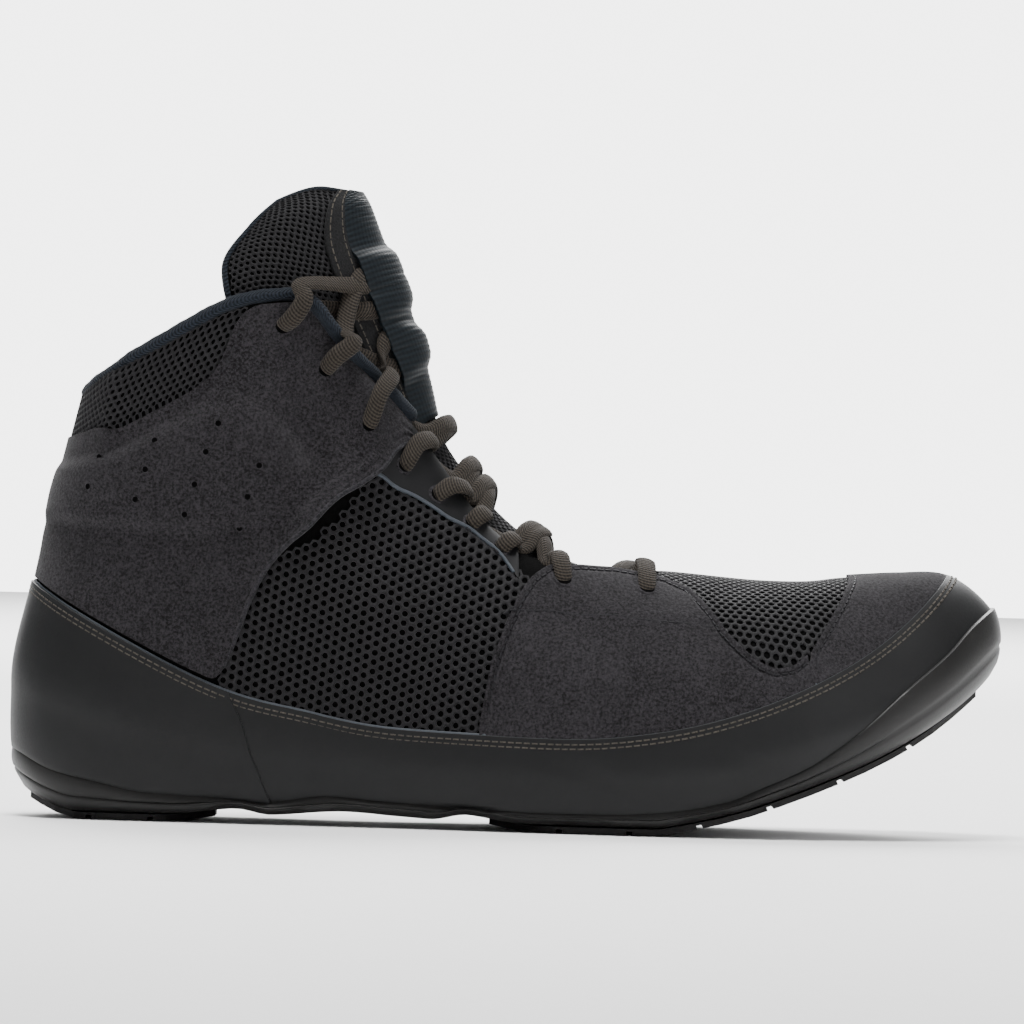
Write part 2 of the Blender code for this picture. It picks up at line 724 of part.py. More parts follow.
TONGUE_ROWS = np.linspace(0, len(VAMP_HOOPS) + len(SHAFT_HOOPS) - 1, 16)
TONGUE_LEANS = np.linspace(-1.0, 1.0, 13)


def tongue_hoops():
    """Crest and tip of each hoop of the tongue, as (crest x, crest z, tip x, tip z, tip out)."""
    rows = []
    for hoops, height, width in (
        (VAMP_HOOPS, INSTEP_HEIGHT, BALL_WIDTH / 2),
        (SHAFT_HOOPS, SHAFT_HEIGHT + TONGUE_RISE, HEEL_WIDTH / 2),
    ):
        for hoop in hoops:
            rows.append(
                (
                    hoop.crest_along * LENGTH,
                    hoop.crest_up * height,
                    hoop.tip_along * LENGTH,
                    hoop.tip_up * height,
                    hoop.tip_out * width,
                )
            )
    return np.array(rows)


def tongue_point(row, lean):
    """Points on the tongue's outside.

    Args:
        row: array of hoop numbers, with parts between the hoops.
        lean: array from -1 at the outer tip through 0 at the crest to 1 at the inner tip.

    Returns:
        Array of points.
    """
    hoops = tongue_hoops()
    numbers = np.arange(len(hoops))
    crest_x, crest_z, tip_x, tip_z, tip_out = (
        monotone(np.stack([numbers, column], axis=1), row) for column in hoops.T
    )
    turn = lean * math.pi / 2
    back = 1 - np.cos(turn)
    x = crest_x + (tip_x - crest_x) * back
    z = crest_z + (tip_z - crest_z) * back
    y = np.sin(turn) * tip_out
    return np.stack([x, y + swing(x, z), z], axis=1)


def tongue_at(row, lean, out):
    """Points out from the tongue's outside, or inside it where out is negative."""
    small = 0.01
    last_row = len(VAMP_HOOPS) + len(SHAFT_HOOPS) - 1
    low, high = np.clip(row - small, 0, last_row), np.clip(row + small, 0, last_row)
    up = tongue_point(high, lean) - tongue_point(low, lean)
    side = tongue_point(row, lean + small) - tongue_point(row, lean - small)
    normal = np.cross(side, up)
    normal /= np.linalg.norm(normal, axis=1)[:, None]
    return tongue_point(row, lean) + normal * np.asarray(out)[..., None]


def build_tongue():
    """The padded tongue that wraps the ankle inside the shaft."""
    lean, row = (grid.ravel() for grid in np.meshgrid(TONGUE_LEANS, TONGUE_ROWS, indexing="ij"))
    shape = (len(TONGUE_LEANS), len(TONGUE_ROWS), 3)
    outer = tongue_at(row, lean, np.zeros(len(row))).reshape(shape)
    inner = tongue_at(row, lean, np.full(len(row), -TONGUE_WALL)).reshape(shape)
    return shell("tongue", outer, inner, False, material("tongue_mesh", (0.02, 0.02, 0.022), 0.9))


def edge_level(table, stations):
    """Level of a panel's edge at each station, the same on both sides of the foot."""
    folded = np.abs(np.mod(stations + HALF_TURN, LAST.turn) - HALF_TURN)
    station, level = np.array(table).T
    return np.interp(folded, station, level)


def with_corners(stations, *tables):
    """Adds the stations of the tables' corners that lie on the patch, on both sides of the foot."""
    corners = np.array([edge.station for table in tables for edge in table])
    corners = np.concatenate([corners, -corners, LAST.turn - corners])
    corners = corners[(corners > stations[0]) & (corners < stations[-1])]
    far = [corner for corner in np.unique(np.round(corners, 3)) if np.abs(stations - corner).min() > 0.04]
    return np.sort(np.concatenate([stations, far]))


def panel_levels(low, high, *extra):
    """Rows of a panel: its edges, the upper's own rows between them, and any extra rows."""
    rows = [low, high]
    for level in (*(RAND_LEVEL + share for share in ABOVE_ROWS), *extra):
        rows.append(np.clip(level, low, high))
    return np.sort(np.stack(rows, axis=1), axis=1)


def patch(name, stations, levels, inner, wall, closed, look):
    """A panel that lies on the upper between the levels given at each station.

    Args:
        name: node name.
        stations: array of the patch's columns.
        levels: array shaped (columns, rows).
        inner: distance of the panel's inside from the upper.
        wall: thickness, one number or an array shaped like levels.
        closed: whether the patch runs all round the foot.
        look: the material.

    Returns:
        The panel's object.
    """
    station = np.repeat(stations, levels.shape[1])
    level = np.clip(levels, 0, TOP_LEVEL).ravel()
    shape = (*levels.shape, 3)
    thick = np.broadcast_to(wall, levels.shape).ravel()
    inside = LAST.at(station, level, np.full(len(station), inner)).reshape(shape)
    outside = LAST.at(station, level, thick + inner).reshape(shape)
    return shell(name, outside, inside, closed, look)


def build_rand():
    """The smooth band round the whole foot, between the sole's rim and the panels."""
    stations = stations_between(0.0, float(LAST.turn))[:-1]
    low = LAST.level_at_height(stations, lambda x: rim_height(x) + 2 * CLEAR)[:, None]
    levels = low + (RAND_EDGE - low) * np.array(RAND_ROWS)
    look = material("band_synthetic", (0.022, 0.024, 0.026), 0.5)
    return patch("rand", stations, levels, PANEL_SEAT, RAND_WALL, True, look)


def build_ankle_wrap(look):
    """The suede heel and ankle panel of both sides, with its raised pad."""
    end = WRAP_LOW[-1].station
    stations = with_corners(stations_between(-end, end), WRAP_LOW, WRAP_HIGH)
    low, high = edge_level(WRAP_LOW, stations), edge_level(WRAP_HIGH, stations)
    foot, head = edge_level(PAD_LOW, stations), edge_level(PAD_HIGH, stations)
    bevel = np.minimum(PAD_BEVEL, (head - foot) / 2)
    levels = panel_levels(low, high, foot, foot + bevel, head - bevel, head)
    inward = np.minimum(levels - foot[:, None], head[:, None] - levels)
    wall = PANEL_WALL + PAD_RISE * smooth(0.0, PAD_BEVEL, inward)
    return patch("ankle_wrap", stations, levels, PANEL_SEAT, wall, False, look)


def build_side_panel(name, outer_side, look):
    """The suede panel beside the ball of the foot, with the front two lace holes."""
    first, last = SIDE_HIGH[0].station, SIDE_HIGH[-1].station
    if not outer_side:
        first, last = LAST.turn - last, LAST.turn - first
    stations = with_corners(stations_between(first, last), SIDE_HIGH)
    low = np.full(len(stations), PANEL_FOOT)
    levels = panel_levels(low, edge_level(SIDE_HIGH, stations))
    return patch(name, stations, levels, SIDE_SEAT, PANEL_WALL, False, look)


def build_toe_cap(look):
    """The suede cap over the toe, behind the rand."""
    first = CAP_HIGH[0].station
    stations = with_corners(stations_between(first, LAST.turn - first), CAP_HIGH)
    low = np.full(len(stations), PANEL_FOOT)
    levels = panel_levels(low, edge_level(CAP_HIGH, stations))
    return patch("toe_cap", stations, levels, PANEL_SEAT, PANEL_WALL, False, look)


def tube(name, points, radius, look):
    """A round cord or roll through the points given, as a mesh with welded caps."""
    curve = bpy.data.curves.new(name, "CURVE")
    curve.dimensions = "3D"
    curve.bevel_depth = radius
    curve.bevel_resolution = 1
    curve.use_fill_caps = True
    spline = curve.splines.new("POLY")
    spline.points.add(len(points) - 1)
    for point, place in zip(spline.points, points - (HEEL_TO_ORIGIN, 0.0, 0.0)):
        point.co = (*place, 1.0)
    curve.materials.append(look)
    made = bpy.data.objects.new(name, curve)
    COLLECTION.objects.link(made)
    return made


def build_binding():
    """The rolled binding round the collar and down both edges of the throat."""
    end = THROAT_TOP
    stations = stations_between(-end, end)
    folded = np.abs(stations)
    edge = LAST.point(stations, TOP_LEVEL)
    up = edge - LAST.point(stations, TOP_LEVEL - 0.1)
    up /= np.linalg.norm(up, axis=1)[:, None]
    out = -UPPER_WALL / 2 + BINDING_LIFT * smooth(4.0, 5.5, folded)
    normal = LAST.normal(stations, TOP_LEVEL - 0.1)
    centre = edge + up * (BINDING_RADIUS + 2 * CLEAR) + normal * out[:, None]
    return tube("collar_binding", centre, BINDING_RADIUS, material("binding_knit", (0.03, 0.034, 0.042), 0.85))


def build_ribbon():
    """The woven keeper strip on the front of the tongue."""
    rows = TONGUE_ROWS[TONGUE_ROWS > RIBBON_START]
    leans = TONGUE_LEANS[np.abs(TONGUE_LEANS) < RIBBON_LEAN]
    leans = np.concatenate([[-RIBBON_LEAN], leans, [RIBBON_LEAN]])
    lean, row = (grid.ravel() for grid in np.meshgrid(leans, rows, indexing="ij"))
    shape = (len(leans), len(rows), 3)
    seat = np.full(len(row), PANEL_SEAT)
    outer = tongue_at(row, lean, seat + RIBBON_WALL).reshape(shape)
    inner = tongue_at(row, lean, seat).reshape(shape)
    return shell("tongue_ribbon", outer, inner, False, material("ribbon_weave", (0.012, 0.02, 0.025), 0.6))


def lace_strand(low, high, outer_side):
    """Route of one lace strand: up from a hole, over the tongue, down to the far edge of the throat.

    Args:
        low: the eyelet that it leaves.
        high: the eyelet that it goes to, on the other side.
        outer_side: whether it starts on the outer side of the foot.

    Returns:
        Points and the direction that faces out at each, as two arrays.
    """
    near = 1 if outer_side else -1
    climb = LACE_CLIMB * (low.hoop - high.hoop)
    crest, crest_out = lace_crest((low.hoop + high.hoop) / 2, climb, np.array([0.5, 0.0, -0.5]) * near)
    start, start_out = lace_start(low, high, near)
    return np.concatenate([start, crest]), np.concatenate([start_out, crest_out])


def lace_start(hole, toward, near):
    """A strand's hole and the throat's edge beside it, with the directions that face out there.

    Args:
        hole: the eyelet that the strand leaves.
        toward: the eyelet that it heads for.
        near: 1 on the outer side of the foot, -1 on the inner side.

    Returns:
        Points and directions, as two arrays.
    """
    lip_station = hole.station * 0.85 + toward.station * 0.15
    station = np.array([hole.station, lip_station]) * near
    level = np.array([hole.level, TOP_LEVEL - 0.05])
    over_panel = PANEL_SEAT + PANEL_WALL + LACE_THICK / 2 + LACE_LIFT
    return LAST.at(station, level, over_panel + np.array([0.0, LIP_LIFT])), LAST.normal(station, level)


def lace_crest(hoop, climb, shares):
    """A strand's points over the tongue, with the directions that face out there.

    Args:
        hoop: the tongue's hoop that it crosses the ridge at.
        climb: how many hoops it comes up over the throat's half width.
        shares: places across the throat, 1 at the outer side's edge and -1 at the inner side's.

    Returns:
        Points and directions, as two arrays.
    """
    rows = hoop + climb * np.abs(shares) * 2 * np.sign(shares * shares[0])
    over_ribbon = np.full(len(rows), PANEL_SEAT + RIBBON_WALL + LACE_THICK / 2 + CREST_LIFT)
    points = tongue_at(rows, -shares * THROAT_LEAN, over_ribbon)
    return points, (tongue_at(rows, -shares * THROAT_LEAN, over_ribbon + CLEAR) - points) / CLEAR


def flat_tube(points, out):
    """Mesh points and faces of a flat oval cord along the points given, facing out."""
    run = np.gradient(points, axis=0)
    run /= np.linalg.norm(run, axis=1)[:, None]
    side = np.cross(run, out)
    side /= np.linalg.norm(side, axis=1)[:, None]
    across = np.cross(run, side)
    angles = np.linspace(0, 2 * math.pi, 6, endpoint=False)
    ring = [
        points + side * math.cos(angle) * LACE_WIDTH / 2 + across * math.sin(angle) * LACE_THICK / 2
        for angle in angles
    ]
    grid = np.stack(ring, axis=0)
    rows = grid.shape[1]
    faces = grid_faces(len(angles), rows, closed=True)
    faces.append(tuple(column * rows for column in range(len(angles)))[::-1])
    faces.append(tuple(column * rows + rows - 1 for column in range(len(angles))))
    return grid.reshape(-1, 3), faces


def build_lace(number, look):
    """One crossing of the lace, between two pairs of lace holes."""
    high, low = EYELETS[number - 1], EYELETS[number]
    strands = []
    for outer_side in (True, False):
        points, faces = flat_tube(*lace_strand(low, high, outer_side))
        side = "outer" if outer_side else "inner"
        strands.append(mesh_object(f"lace_crossing_{number}_{side}", points, faces, look))
    first, second = strands
    first.name = f"lace_crossing_{number}"
    join = first.modifiers.new("join", "BOOLEAN")
    join.operation = "UNION"
    join.object = second
    second.hide_render = True
    second.display_type = "WIRE"
    COLLECTION.objects.unlink(second)
    CUTTERS.objects.link(second)
    return first


def build_top_bar(look):
    """The bar of lace between the two top holes."""
    hole = EYELETS[0]
    over_roll = 2 * BINDING_RADIUS + LACE_THICK / 2 + 9 * CLEAR
    sides = []
    for near in (1, -1):
        lip, lip_out = lace_start(hole, hole, near)
        station = np.array([hole.station + ROLL_STEP]) * near
        edge = LAST.point(station, TOP_LEVEL)
        up = edge - LAST.point(station, TOP_LEVEL - 0.1)
        up /= np.linalg.norm(up)
        lip[-1] = edge + LAST.normal(station, TOP_LEVEL - 0.1) * (BINDING_RADIUS + LACE_THICK / 2 + 8 * CLEAR)
        sides.append((np.concatenate([lip, edge + up * over_roll]), np.concatenate([lip_out, up])))
    (start, start_out), (end, end_out) = sides
    crest, crest_out = lace_crest(hole.hoop + BAR_CLIMB, 0.0, np.array([0.8, 0.4, 0.0, -0.4, -0.8]))
    points = np.concatenate([start, crest, end[::-1]])
    return mesh_object("lace_top_bar", *flat_tube(points, np.concatenate([start_out, crest_out, end_out[::-1]])), look)


def clear_scene():
    """Removes what the scene holds."""
    for found in list(bpy.data.objects):
        bpy.data.objects.remove(found, do_unlink=True)


def main():
    """Builds the shoe piece by piece."""
    build_outsole()
    build_tread("tread_heel", *HEEL_POD, grooves=2)
    build_tread("tread_forefoot", *FORE_POD, grooves=6)
    build_insole()
    build_upper()
    build_tongue()
    build_rand()
    suede = material("suede", (0.028, 0.026, 0.03), 0.95)
    build_ankle_wrap(suede)
    build_side_panel("side_panel_outer", True, suede)
    build_side_panel("side_panel_inner", False, suede)
    build_toe_cap(suede)
    build_binding()
    build_ribbon()
    lace = material("lace_weave", (0.07, 0.058, 0.05), 0.8)
    for number in range(1, len(EYELETS)):
        build_lace(number, lace)
    build_top_bar(lace)


if __name__ == "__main__":
    clear_scene()
    COLLECTION = bpy.data.collections.new("wrestling_shoe")
    CUTTERS = bpy.data.collections.new("cutters")
    bpy.context.scene.collection.children.link(COLLECTION)
    bpy.context.scene.collection.children.link(CUTTERS)
    main()
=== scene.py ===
"""Dresses the wrestling shoe's frame with nets, suede, band, laces and rubber, and builds its stage."""

import logging
import math
from dataclasses import dataclass, field
from enum import Enum
from typing import Callable, NamedTuple, Optional, Sequence

import bpy
import numpy as np
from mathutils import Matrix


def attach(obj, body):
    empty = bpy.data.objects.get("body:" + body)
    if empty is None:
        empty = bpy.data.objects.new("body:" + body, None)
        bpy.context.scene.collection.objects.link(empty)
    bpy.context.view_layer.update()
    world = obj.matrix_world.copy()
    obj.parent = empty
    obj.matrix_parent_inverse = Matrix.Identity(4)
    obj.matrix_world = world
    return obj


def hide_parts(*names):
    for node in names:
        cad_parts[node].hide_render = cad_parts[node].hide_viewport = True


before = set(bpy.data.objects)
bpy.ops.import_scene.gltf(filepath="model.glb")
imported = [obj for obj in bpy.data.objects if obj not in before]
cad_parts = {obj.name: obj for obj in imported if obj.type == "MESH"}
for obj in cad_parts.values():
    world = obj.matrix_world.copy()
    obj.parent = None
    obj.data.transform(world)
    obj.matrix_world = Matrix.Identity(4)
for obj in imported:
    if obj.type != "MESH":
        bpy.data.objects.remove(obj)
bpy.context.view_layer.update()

BODY = "root"
LOG = logging.getLogger("wrestling_shoe")

# Driving sizes of the last, in metres
LENGTH = 0.289
BALL_WIDTH = 0.0965
HEEL_WIDTH = 0.066
SHAFT_HEIGHT = 0.150
INSTEP_HEIGHT = 0.0755
RAND_HEIGHT = 0.068
TOE_SPRING = 0.0505
TONGUE_RISE = 0.034
FEATHER_TUCK = 0.005
HEEL_TO_ORIGIN = 0.034
UPPER_WALL = 0.0018
PANEL_SEAT = 0.00035
PANEL_WALL = 0.0011
RAND_WALL = 0.0012
PAD_RISE = 0.0027
TONGUE_WALL = 0.0035
RIM_WALL = 0.0019
BUMPER_WALL = 0.0026
TREAD_WALL = 0.0018
CLEAR = 0.0003
SEAT_CLEAR = 0.00045
SWING_FADES_FROM = 0.40
SWING_FADES_TO = 0.75
POD_MARGIN = 0.020
HEEL_POD_END = 0.208
FORE_POD_START = 0.482


class Section(NamedTuple):
    """One rib of the last: its tuck under the foot, and along, up and out at each level."""

    tuck: float
    wall: tuple[float, float, float]
    rand: tuple[float, float, float]
    mid: tuple[float, float, float]
    top: tuple[float, float, float]


class Reading(NamedTuple):
    """A value at a place along the shoe, both as shares."""

    along: float
    value: float


class TongueRow(NamedTuple):
    """One hoop of the tongue, from the crest at the front to the tip of each wing, as shares."""

    crest_along: float
    crest_up: float
    tip_along: float
    tip_up: float
    tip_out: float


class Edge(NamedTuple):
    """A point of a panel's edge: station from the heel on either side, and level up the last."""

    station: float
    level: float


class Eyelet(NamedTuple):
    """A lace hole: station and level on the last, and the tongue's hoop that its lace crosses at."""

    station: float
    level: float
    hoop: float


class Fold(NamedTuple):
    """A soft trough or ridge in the cloth, from one place to another, with its width and rise in metres."""

    station: float
    level: float
    end_station: float
    end_level: float
    width: float
    rise: float


# Along is a share of LENGTH, out of half HEEL_WIDTH, up of SHAFT_HEIGHT, or of RAND_HEIGHT at the rand
HIND_SECTIONS = (
    Section(
        1.30, (0.006, 0.253, 0.000), (0.024, 1.000, 0.000), (0.045, 0.647, 0.000), (0.065, 0.810, 0.000)
    ),
    Section(
        1.20, (0.036, 0.227, 0.667), (0.054, 0.912, 0.621), (0.073, 0.633, 0.591), (0.090, 0.847, 0.667)
    ),
    Section(
        1.00, (0.118, 0.173, 0.918), (0.125, 0.743, 0.888), (0.138, 0.607, 0.879), (0.152, 0.917, 0.985)
    ),
    Section(
        1.00, (0.215, 0.133, 0.945), (0.215, 0.566, 0.939), (0.215, 0.587, 0.985), (0.215, 0.983, 1.061)
    ),
    Section(
        1.00, (0.284, 0.123, 0.921), (0.284, 0.493, 0.915), (0.277, 0.573, 0.988), (0.263, 1.002, 1.018)
    ),
    Section(
        1.00, (0.325, 0.120, 0.909), (0.325, 0.456, 0.903), (0.318, 0.560, 0.958), (0.292, 0.990, 0.939)
    ),
    Section(
        1.00, (0.367, 0.113, 0.915), (0.367, 0.426, 0.909), (0.360, 0.520, 0.894), (0.329, 0.897, 0.818)
    ),
    Section(
        1.00, (0.412, 0.107, 0.939), (0.412, 0.412, 0.927), (0.408, 0.473, 0.818), (0.393, 0.767, 0.561)
    ),
)
# Along is a share of LENGTH, out of half BALL_WIDTH, up of INSTEP_HEIGHT, or of RAND_HEIGHT at the rand
FORE_SECTIONS = (
    Section(
        1.00, (0.464, 0.205, 0.725), (0.464, 0.404, 0.714), (0.464, 0.821, 0.584), (0.457, 1.205, 0.303)
    ),
    Section(
        1.00, (0.522, 0.199, 0.801), (0.522, 0.397, 0.786), (0.521, 0.742, 0.628), (0.516, 1.040, 0.292)
    ),
    Section(
        1.00, (0.581, 0.192, 0.896), (0.581, 0.400, 0.881), (0.580, 0.702, 0.714), (0.578, 0.997, 0.270)
    ),
    Section(
        1.00, (0.637, 0.199, 0.965), (0.637, 0.426, 0.941), (0.635, 0.709, 0.757), (0.631, 0.988, 0.206)
    ),
    Section(
        1.10, (0.692, 0.225, 1.000), (0.690, 0.471, 0.965), (0.682, 0.742, 0.747), (0.659, 0.987, 0.000)
    ),
    Section(
        1.20, (0.761, 0.278, 0.982), (0.754, 0.559, 0.931), (0.737, 0.795, 0.671), (0.709, 0.972, 0.000)
    ),
    Section(
        1.40, (0.830, 0.397, 0.891), (0.820, 0.691, 0.822), (0.792, 0.854, 0.552), (0.754, 0.962, 0.000)
    ),
    Section(
        1.70, (0.900, 0.543, 0.735), (0.875, 0.846, 0.617), (0.837, 0.914, 0.411), (0.796, 0.964, 0.000)
    ),
    Section(
        2.00, (0.957, 0.675, 0.470), (0.915, 1.010, 0.380), (0.870, 0.972, 0.216), (0.822, 0.977, 0.000)
    ),
    Section(
        2.40, (0.991, 0.755, 0.000), (0.933, 1.103, 0.000), (0.886, 0.996, 0.000), (0.844, 0.985, 0.000)
    ),
)
HALF_TURN = len(HIND_SECTIONS) + len(FORE_SECTIONS) - 1
THROAT_END = 12.0
RAND_LEVEL = 2.0
TOP_LEVEL = 4.0

# Up is a share of TOE_SPRING
UNDERSIDE = (
    Reading(0.000, 0.188), Reading(0.016, 0.119), Reading(0.042, 0.044), Reading(0.069, 0.000),
    Reading(0.166, 0.000), Reading(0.221, 0.032), Reading(0.277, 0.057), Reading(0.339, 0.083),
    Reading(0.388, 0.067), Reading(0.460, 0.040), Reading(0.519, 0.000), Reading(0.644, 0.000),
    Reading(0.678, 0.032), Reading(0.727, 0.099), Reading(0.772, 0.188), Reading(0.820, 0.297),
    Reading(0.869, 0.426), Reading(0.917, 0.588), Reading(0.962, 0.782), Reading(1.000, 1.000),
)
RIM_TOP = (
    Reading(0.000, 0.416), Reading(0.011, 0.396), Reading(0.050, 0.287), Reading(0.090, 0.236),
    Reading(0.138, 0.188), Reading(0.221, 0.168), Reading(0.263, 0.147), Reading(0.322, 0.184),
    Reading(0.381, 0.164), Reading(0.464, 0.143), Reading(0.533, 0.127), Reading(0.592, 0.129),
    Reading(0.644, 0.143), Reading(0.713, 0.214), Reading(0.751, 0.305), Reading(0.792, 0.414),
    Reading(0.841, 0.606), Reading(0.889, 0.844), Reading(0.931, 1.050), Reading(0.958, 1.218),
    Reading(0.979, 1.307), Reading(1.000, 1.347),
)
# Up is in metres: the sole's thickness from the tread to the foot bed
PLATE = (
    Reading(0.000, 0.0070), Reading(0.173, 0.0065), Reading(0.277, 0.0032), Reading(0.388, 0.0030),
    Reading(0.484, 0.0040), Reading(0.692, 0.0042), Reading(1.000, 0.0042),
)
# Side is a share of BALL_WIDTH, towards the inner side of the foot
SWING = (
    Reading(0.000, 0.000), Reading(0.104, 0.000), Reading(0.190, -0.008), Reading(0.294, -0.041),
    Reading(0.398, -0.067), Reading(0.502, -0.067), Reading(0.606, -0.036), Reading(0.692, -0.010),
    Reading(0.779, 0.013), Reading(0.865, 0.051), Reading(0.934, 0.082), Reading(1.000, 0.103),
)
# Lower and front edge of the ankle wrap, from the heel to the foot of the collar's front edge
WRAP_LOW = (
    Edge(0.00, 2.03), Edge(2.95, 2.03), Edge(3.03, 2.12), Edge(3.08, 2.22), Edge(3.16, 2.34),
    Edge(3.25, 2.45), Edge(3.35, 2.57), Edge(3.50, 2.69), Edge(3.70, 2.80), Edge(4.00, 2.90),
    Edge(4.75, 3.06), Edge(5.60, 3.25), Edge(6.45, 3.46), Edge(6.98, 3.76),
)
# Upper edge of the ankle wrap, under the collar's mesh inset and then along the collar
WRAP_HIGH = (
    Edge(0.00, 3.39), Edge(1.18, 3.46), Edge(1.93, 3.58), Edge(2.48, 3.65), Edge(2.80, 3.72),
    Edge(2.95, 3.84), Edge(3.08, 3.94), Edge(3.40, 3.985), Edge(6.98, 3.985),
)
# Edges of the raised ankle pad
PAD_LOW = (
    Edge(0.00, 2.56), Edge(0.85, 2.65), Edge(2.10, 2.82), Edge(3.05, 2.90), Edge(3.60, 2.97),
    Edge(4.00, 3.07), Edge(4.60, 3.20), Edge(4.86, 3.24),
)
PAD_HIGH = (
    Edge(0.00, 3.17), Edge(1.07, 3.26), Edge(1.82, 3.44), Edge(2.49, 3.55), Edge(3.09, 3.60),
    Edge(3.47, 3.56), Edge(4.24, 3.38), Edge(4.86, 3.22),
)
PAD_BEVEL = 0.11
# Upper edge of the forefoot side panels, from the waist seam over the throat to the toe
SIDE_HIGH = (
    Edge(8.13, 2.05), Edge(8.18, 2.25), Edge(8.26, 2.58), Edge(8.50, 2.98), Edge(8.75, 3.35),
    Edge(9.00, 3.62), Edge(9.30, 3.85), Edge(9.81, 3.94), Edge(10.40, 3.95), Edge(10.90, 3.87),
    Edge(11.60, 3.70), Edge(12.15, 3.50), Edge(12.38, 3.25), Edge(12.54, 3.00), Edge(12.75, 2.73),
    Edge(12.98, 2.49), Edge(13.20, 2.35), Edge(13.45, 2.31), Edge(13.68, 2.38),
)
# Rear edge of the toe cap, from the rand up to the ridge
CAP_HIGH = (
    Edge(13.62, 2.05), Edge(13.67, 2.20), Edge(13.72, 2.38), Edge(13.92, 2.50), Edge(14.30, 2.73),
    Edge(14.90, 3.08), Edge(15.85, 3.50), Edge(16.30, 3.74), Edge(16.64, 4.00), Edge(17.00, 4.00),
)
PANEL_FOOT = 2.03
RAND_EDGE = 1.985
EYELETS = (
    Eyelet(3.99, 3.88, 7.60), Eyelet(5.28, 3.76, 6.70), Eyelet(6.25, 3.65, 5.80),
    Eyelet(6.82, 3.56, 4.95), Eyelet(7.37, 3.62, 4.20), Eyelet(7.94, 3.74, 3.60),
    Eyelet(8.47, 3.79, 3.10), Eyelet(9.53, 3.67, 2.20), Eyelet(11.00, 3.60, 1.30),
)
# Heights of hoops up to the vamp are shares of INSTEP_HEIGHT and widths of half BALL_WIDTH
VAMP_HOOPS = (
    TongueRow(0.692, 0.915, 0.690, 0.765, 0.420),
    TongueRow(0.630, 0.950, 0.626, 0.750, 0.450),
    TongueRow(0.561, 1.015, 0.554, 0.735, 0.440),
    TongueRow(0.500, 1.145, 0.478, 0.820, 0.370),
)
# Heights of hoops up the shaft are shares of SHAFT_HEIGHT plus TONGUE_RISE, widths of half HEEL_WIDTH
SHAFT_HOOPS = (
    TongueRow(0.453, 0.545, 0.412, 0.420, 0.570),
    TongueRow(0.421, 0.622, 0.349, 0.525, 0.640),
    TongueRow(0.409, 0.692, 0.298, 0.614, 0.715),
    TongueRow(0.395, 0.768, 0.249, 0.707, 0.820),
    TongueRow(0.377, 0.845, 0.215, 0.795, 0.940),
    TongueRow(0.357, 0.918, 0.206, 0.865, 0.900),
    TongueRow(0.343, 0.972, 0.232, 0.935, 0.780),
    TongueRow(0.336, 0.990, 0.275, 1.000, 0.500),
)

TONGUE_LAST = len(VAMP_HOOPS) + len(SHAFT_HOOPS) - 1


def monotone(table: Sequence[Sequence[float]], at: np.ndarray) -> np.ndarray:
    """Reads a two-column table at the shares given, smoothly and with no overshoot.

    Args:
        table: rows of (along, value), rising in along.
        at: shares along.

    Returns:
        The values there.
    """
    along, value = np.array(table, dtype=float).T
    step = np.diff(along)
    rise = np.diff(value) / step
    slope = np.zeros_like(value)
    same = rise[:-1] * rise[1:] > 0
    near, far = 2 * step[1:] + step[:-1], step[1:] + 2 * step[:-1]
    with np.errstate(divide="ignore", invalid="ignore"):
        mean = (near + far) / (near / rise[:-1] + far / rise[1:])
    slope[1:-1] = np.where(same, mean, 0.0)
    slope[0], slope[-1] = rise[0], rise[-1]
    at = np.clip(np.asarray(at, dtype=float), along[0], along[-1])
    row = np.clip(np.searchsorted(along, at, side="right") - 1, 0, len(step) - 1)
    part = (at - along[row]) / step[row]
    return hermite(value[row], value[row + 1], slope[row] * step[row], slope[row + 1] * step[row], part)


def hermite(first, last, leaving, arriving, part) -> np.ndarray:
    """Cubic between two values with the slopes given at its ends."""
    square, cube = part**2, part**3
    return (
        first * (2 * cube - 3 * square + 1)
        + leaving * (cube - 2 * square + part)
        + last * (3 * square - 2 * cube)
        + arriving * (cube - square)
    )


def smooth(low: float, high: float, at) -> np.ndarray:
    """A soft step from 0 at low to 1 at high."""
    part = np.clip((np.asarray(at, dtype=float) - low) / (high - low), 0.0, 1.0)
    return part * part * (3 - 2 * part)


def under_height(x: np.ndarray) -> np.ndarray:
    """Height of the tread's underside."""
    return monotone(UNDERSIDE, x / LENGTH) * TOE_SPRING


def rim_height(x: np.ndarray) -> np.ndarray:
    """Height of the top edge of the sole's rim."""
    return monotone(RIM_TOP, x / LENGTH) * TOE_SPRING


def bed_height(x: np.ndarray) -> np.ndarray:
    """Height at which the upper's lower edge and the insole lie."""
    return under_height(x) + monotone(PLATE, x / LENGTH)


def swing(x: np.ndarray, z: np.ndarray) -> np.ndarray:
    """Sideways shift of the centre line, fading up the shaft."""
    fade = 1 - smooth(SWING_FADES_FROM * SHAFT_HEIGHT, SWING_FADES_TO * SHAFT_HEIGHT, z)
    return monotone(SWING, x / LENGTH) * BALL_WIDTH * fade


def folded_station(station: np.ndarray) -> np.ndarray:
    """Station of the outer side that faces each station."""
    return np.abs(np.mod(np.asarray(station, dtype=float) + HALF_TURN, 2 * HALF_TURN) - HALF_TURN)


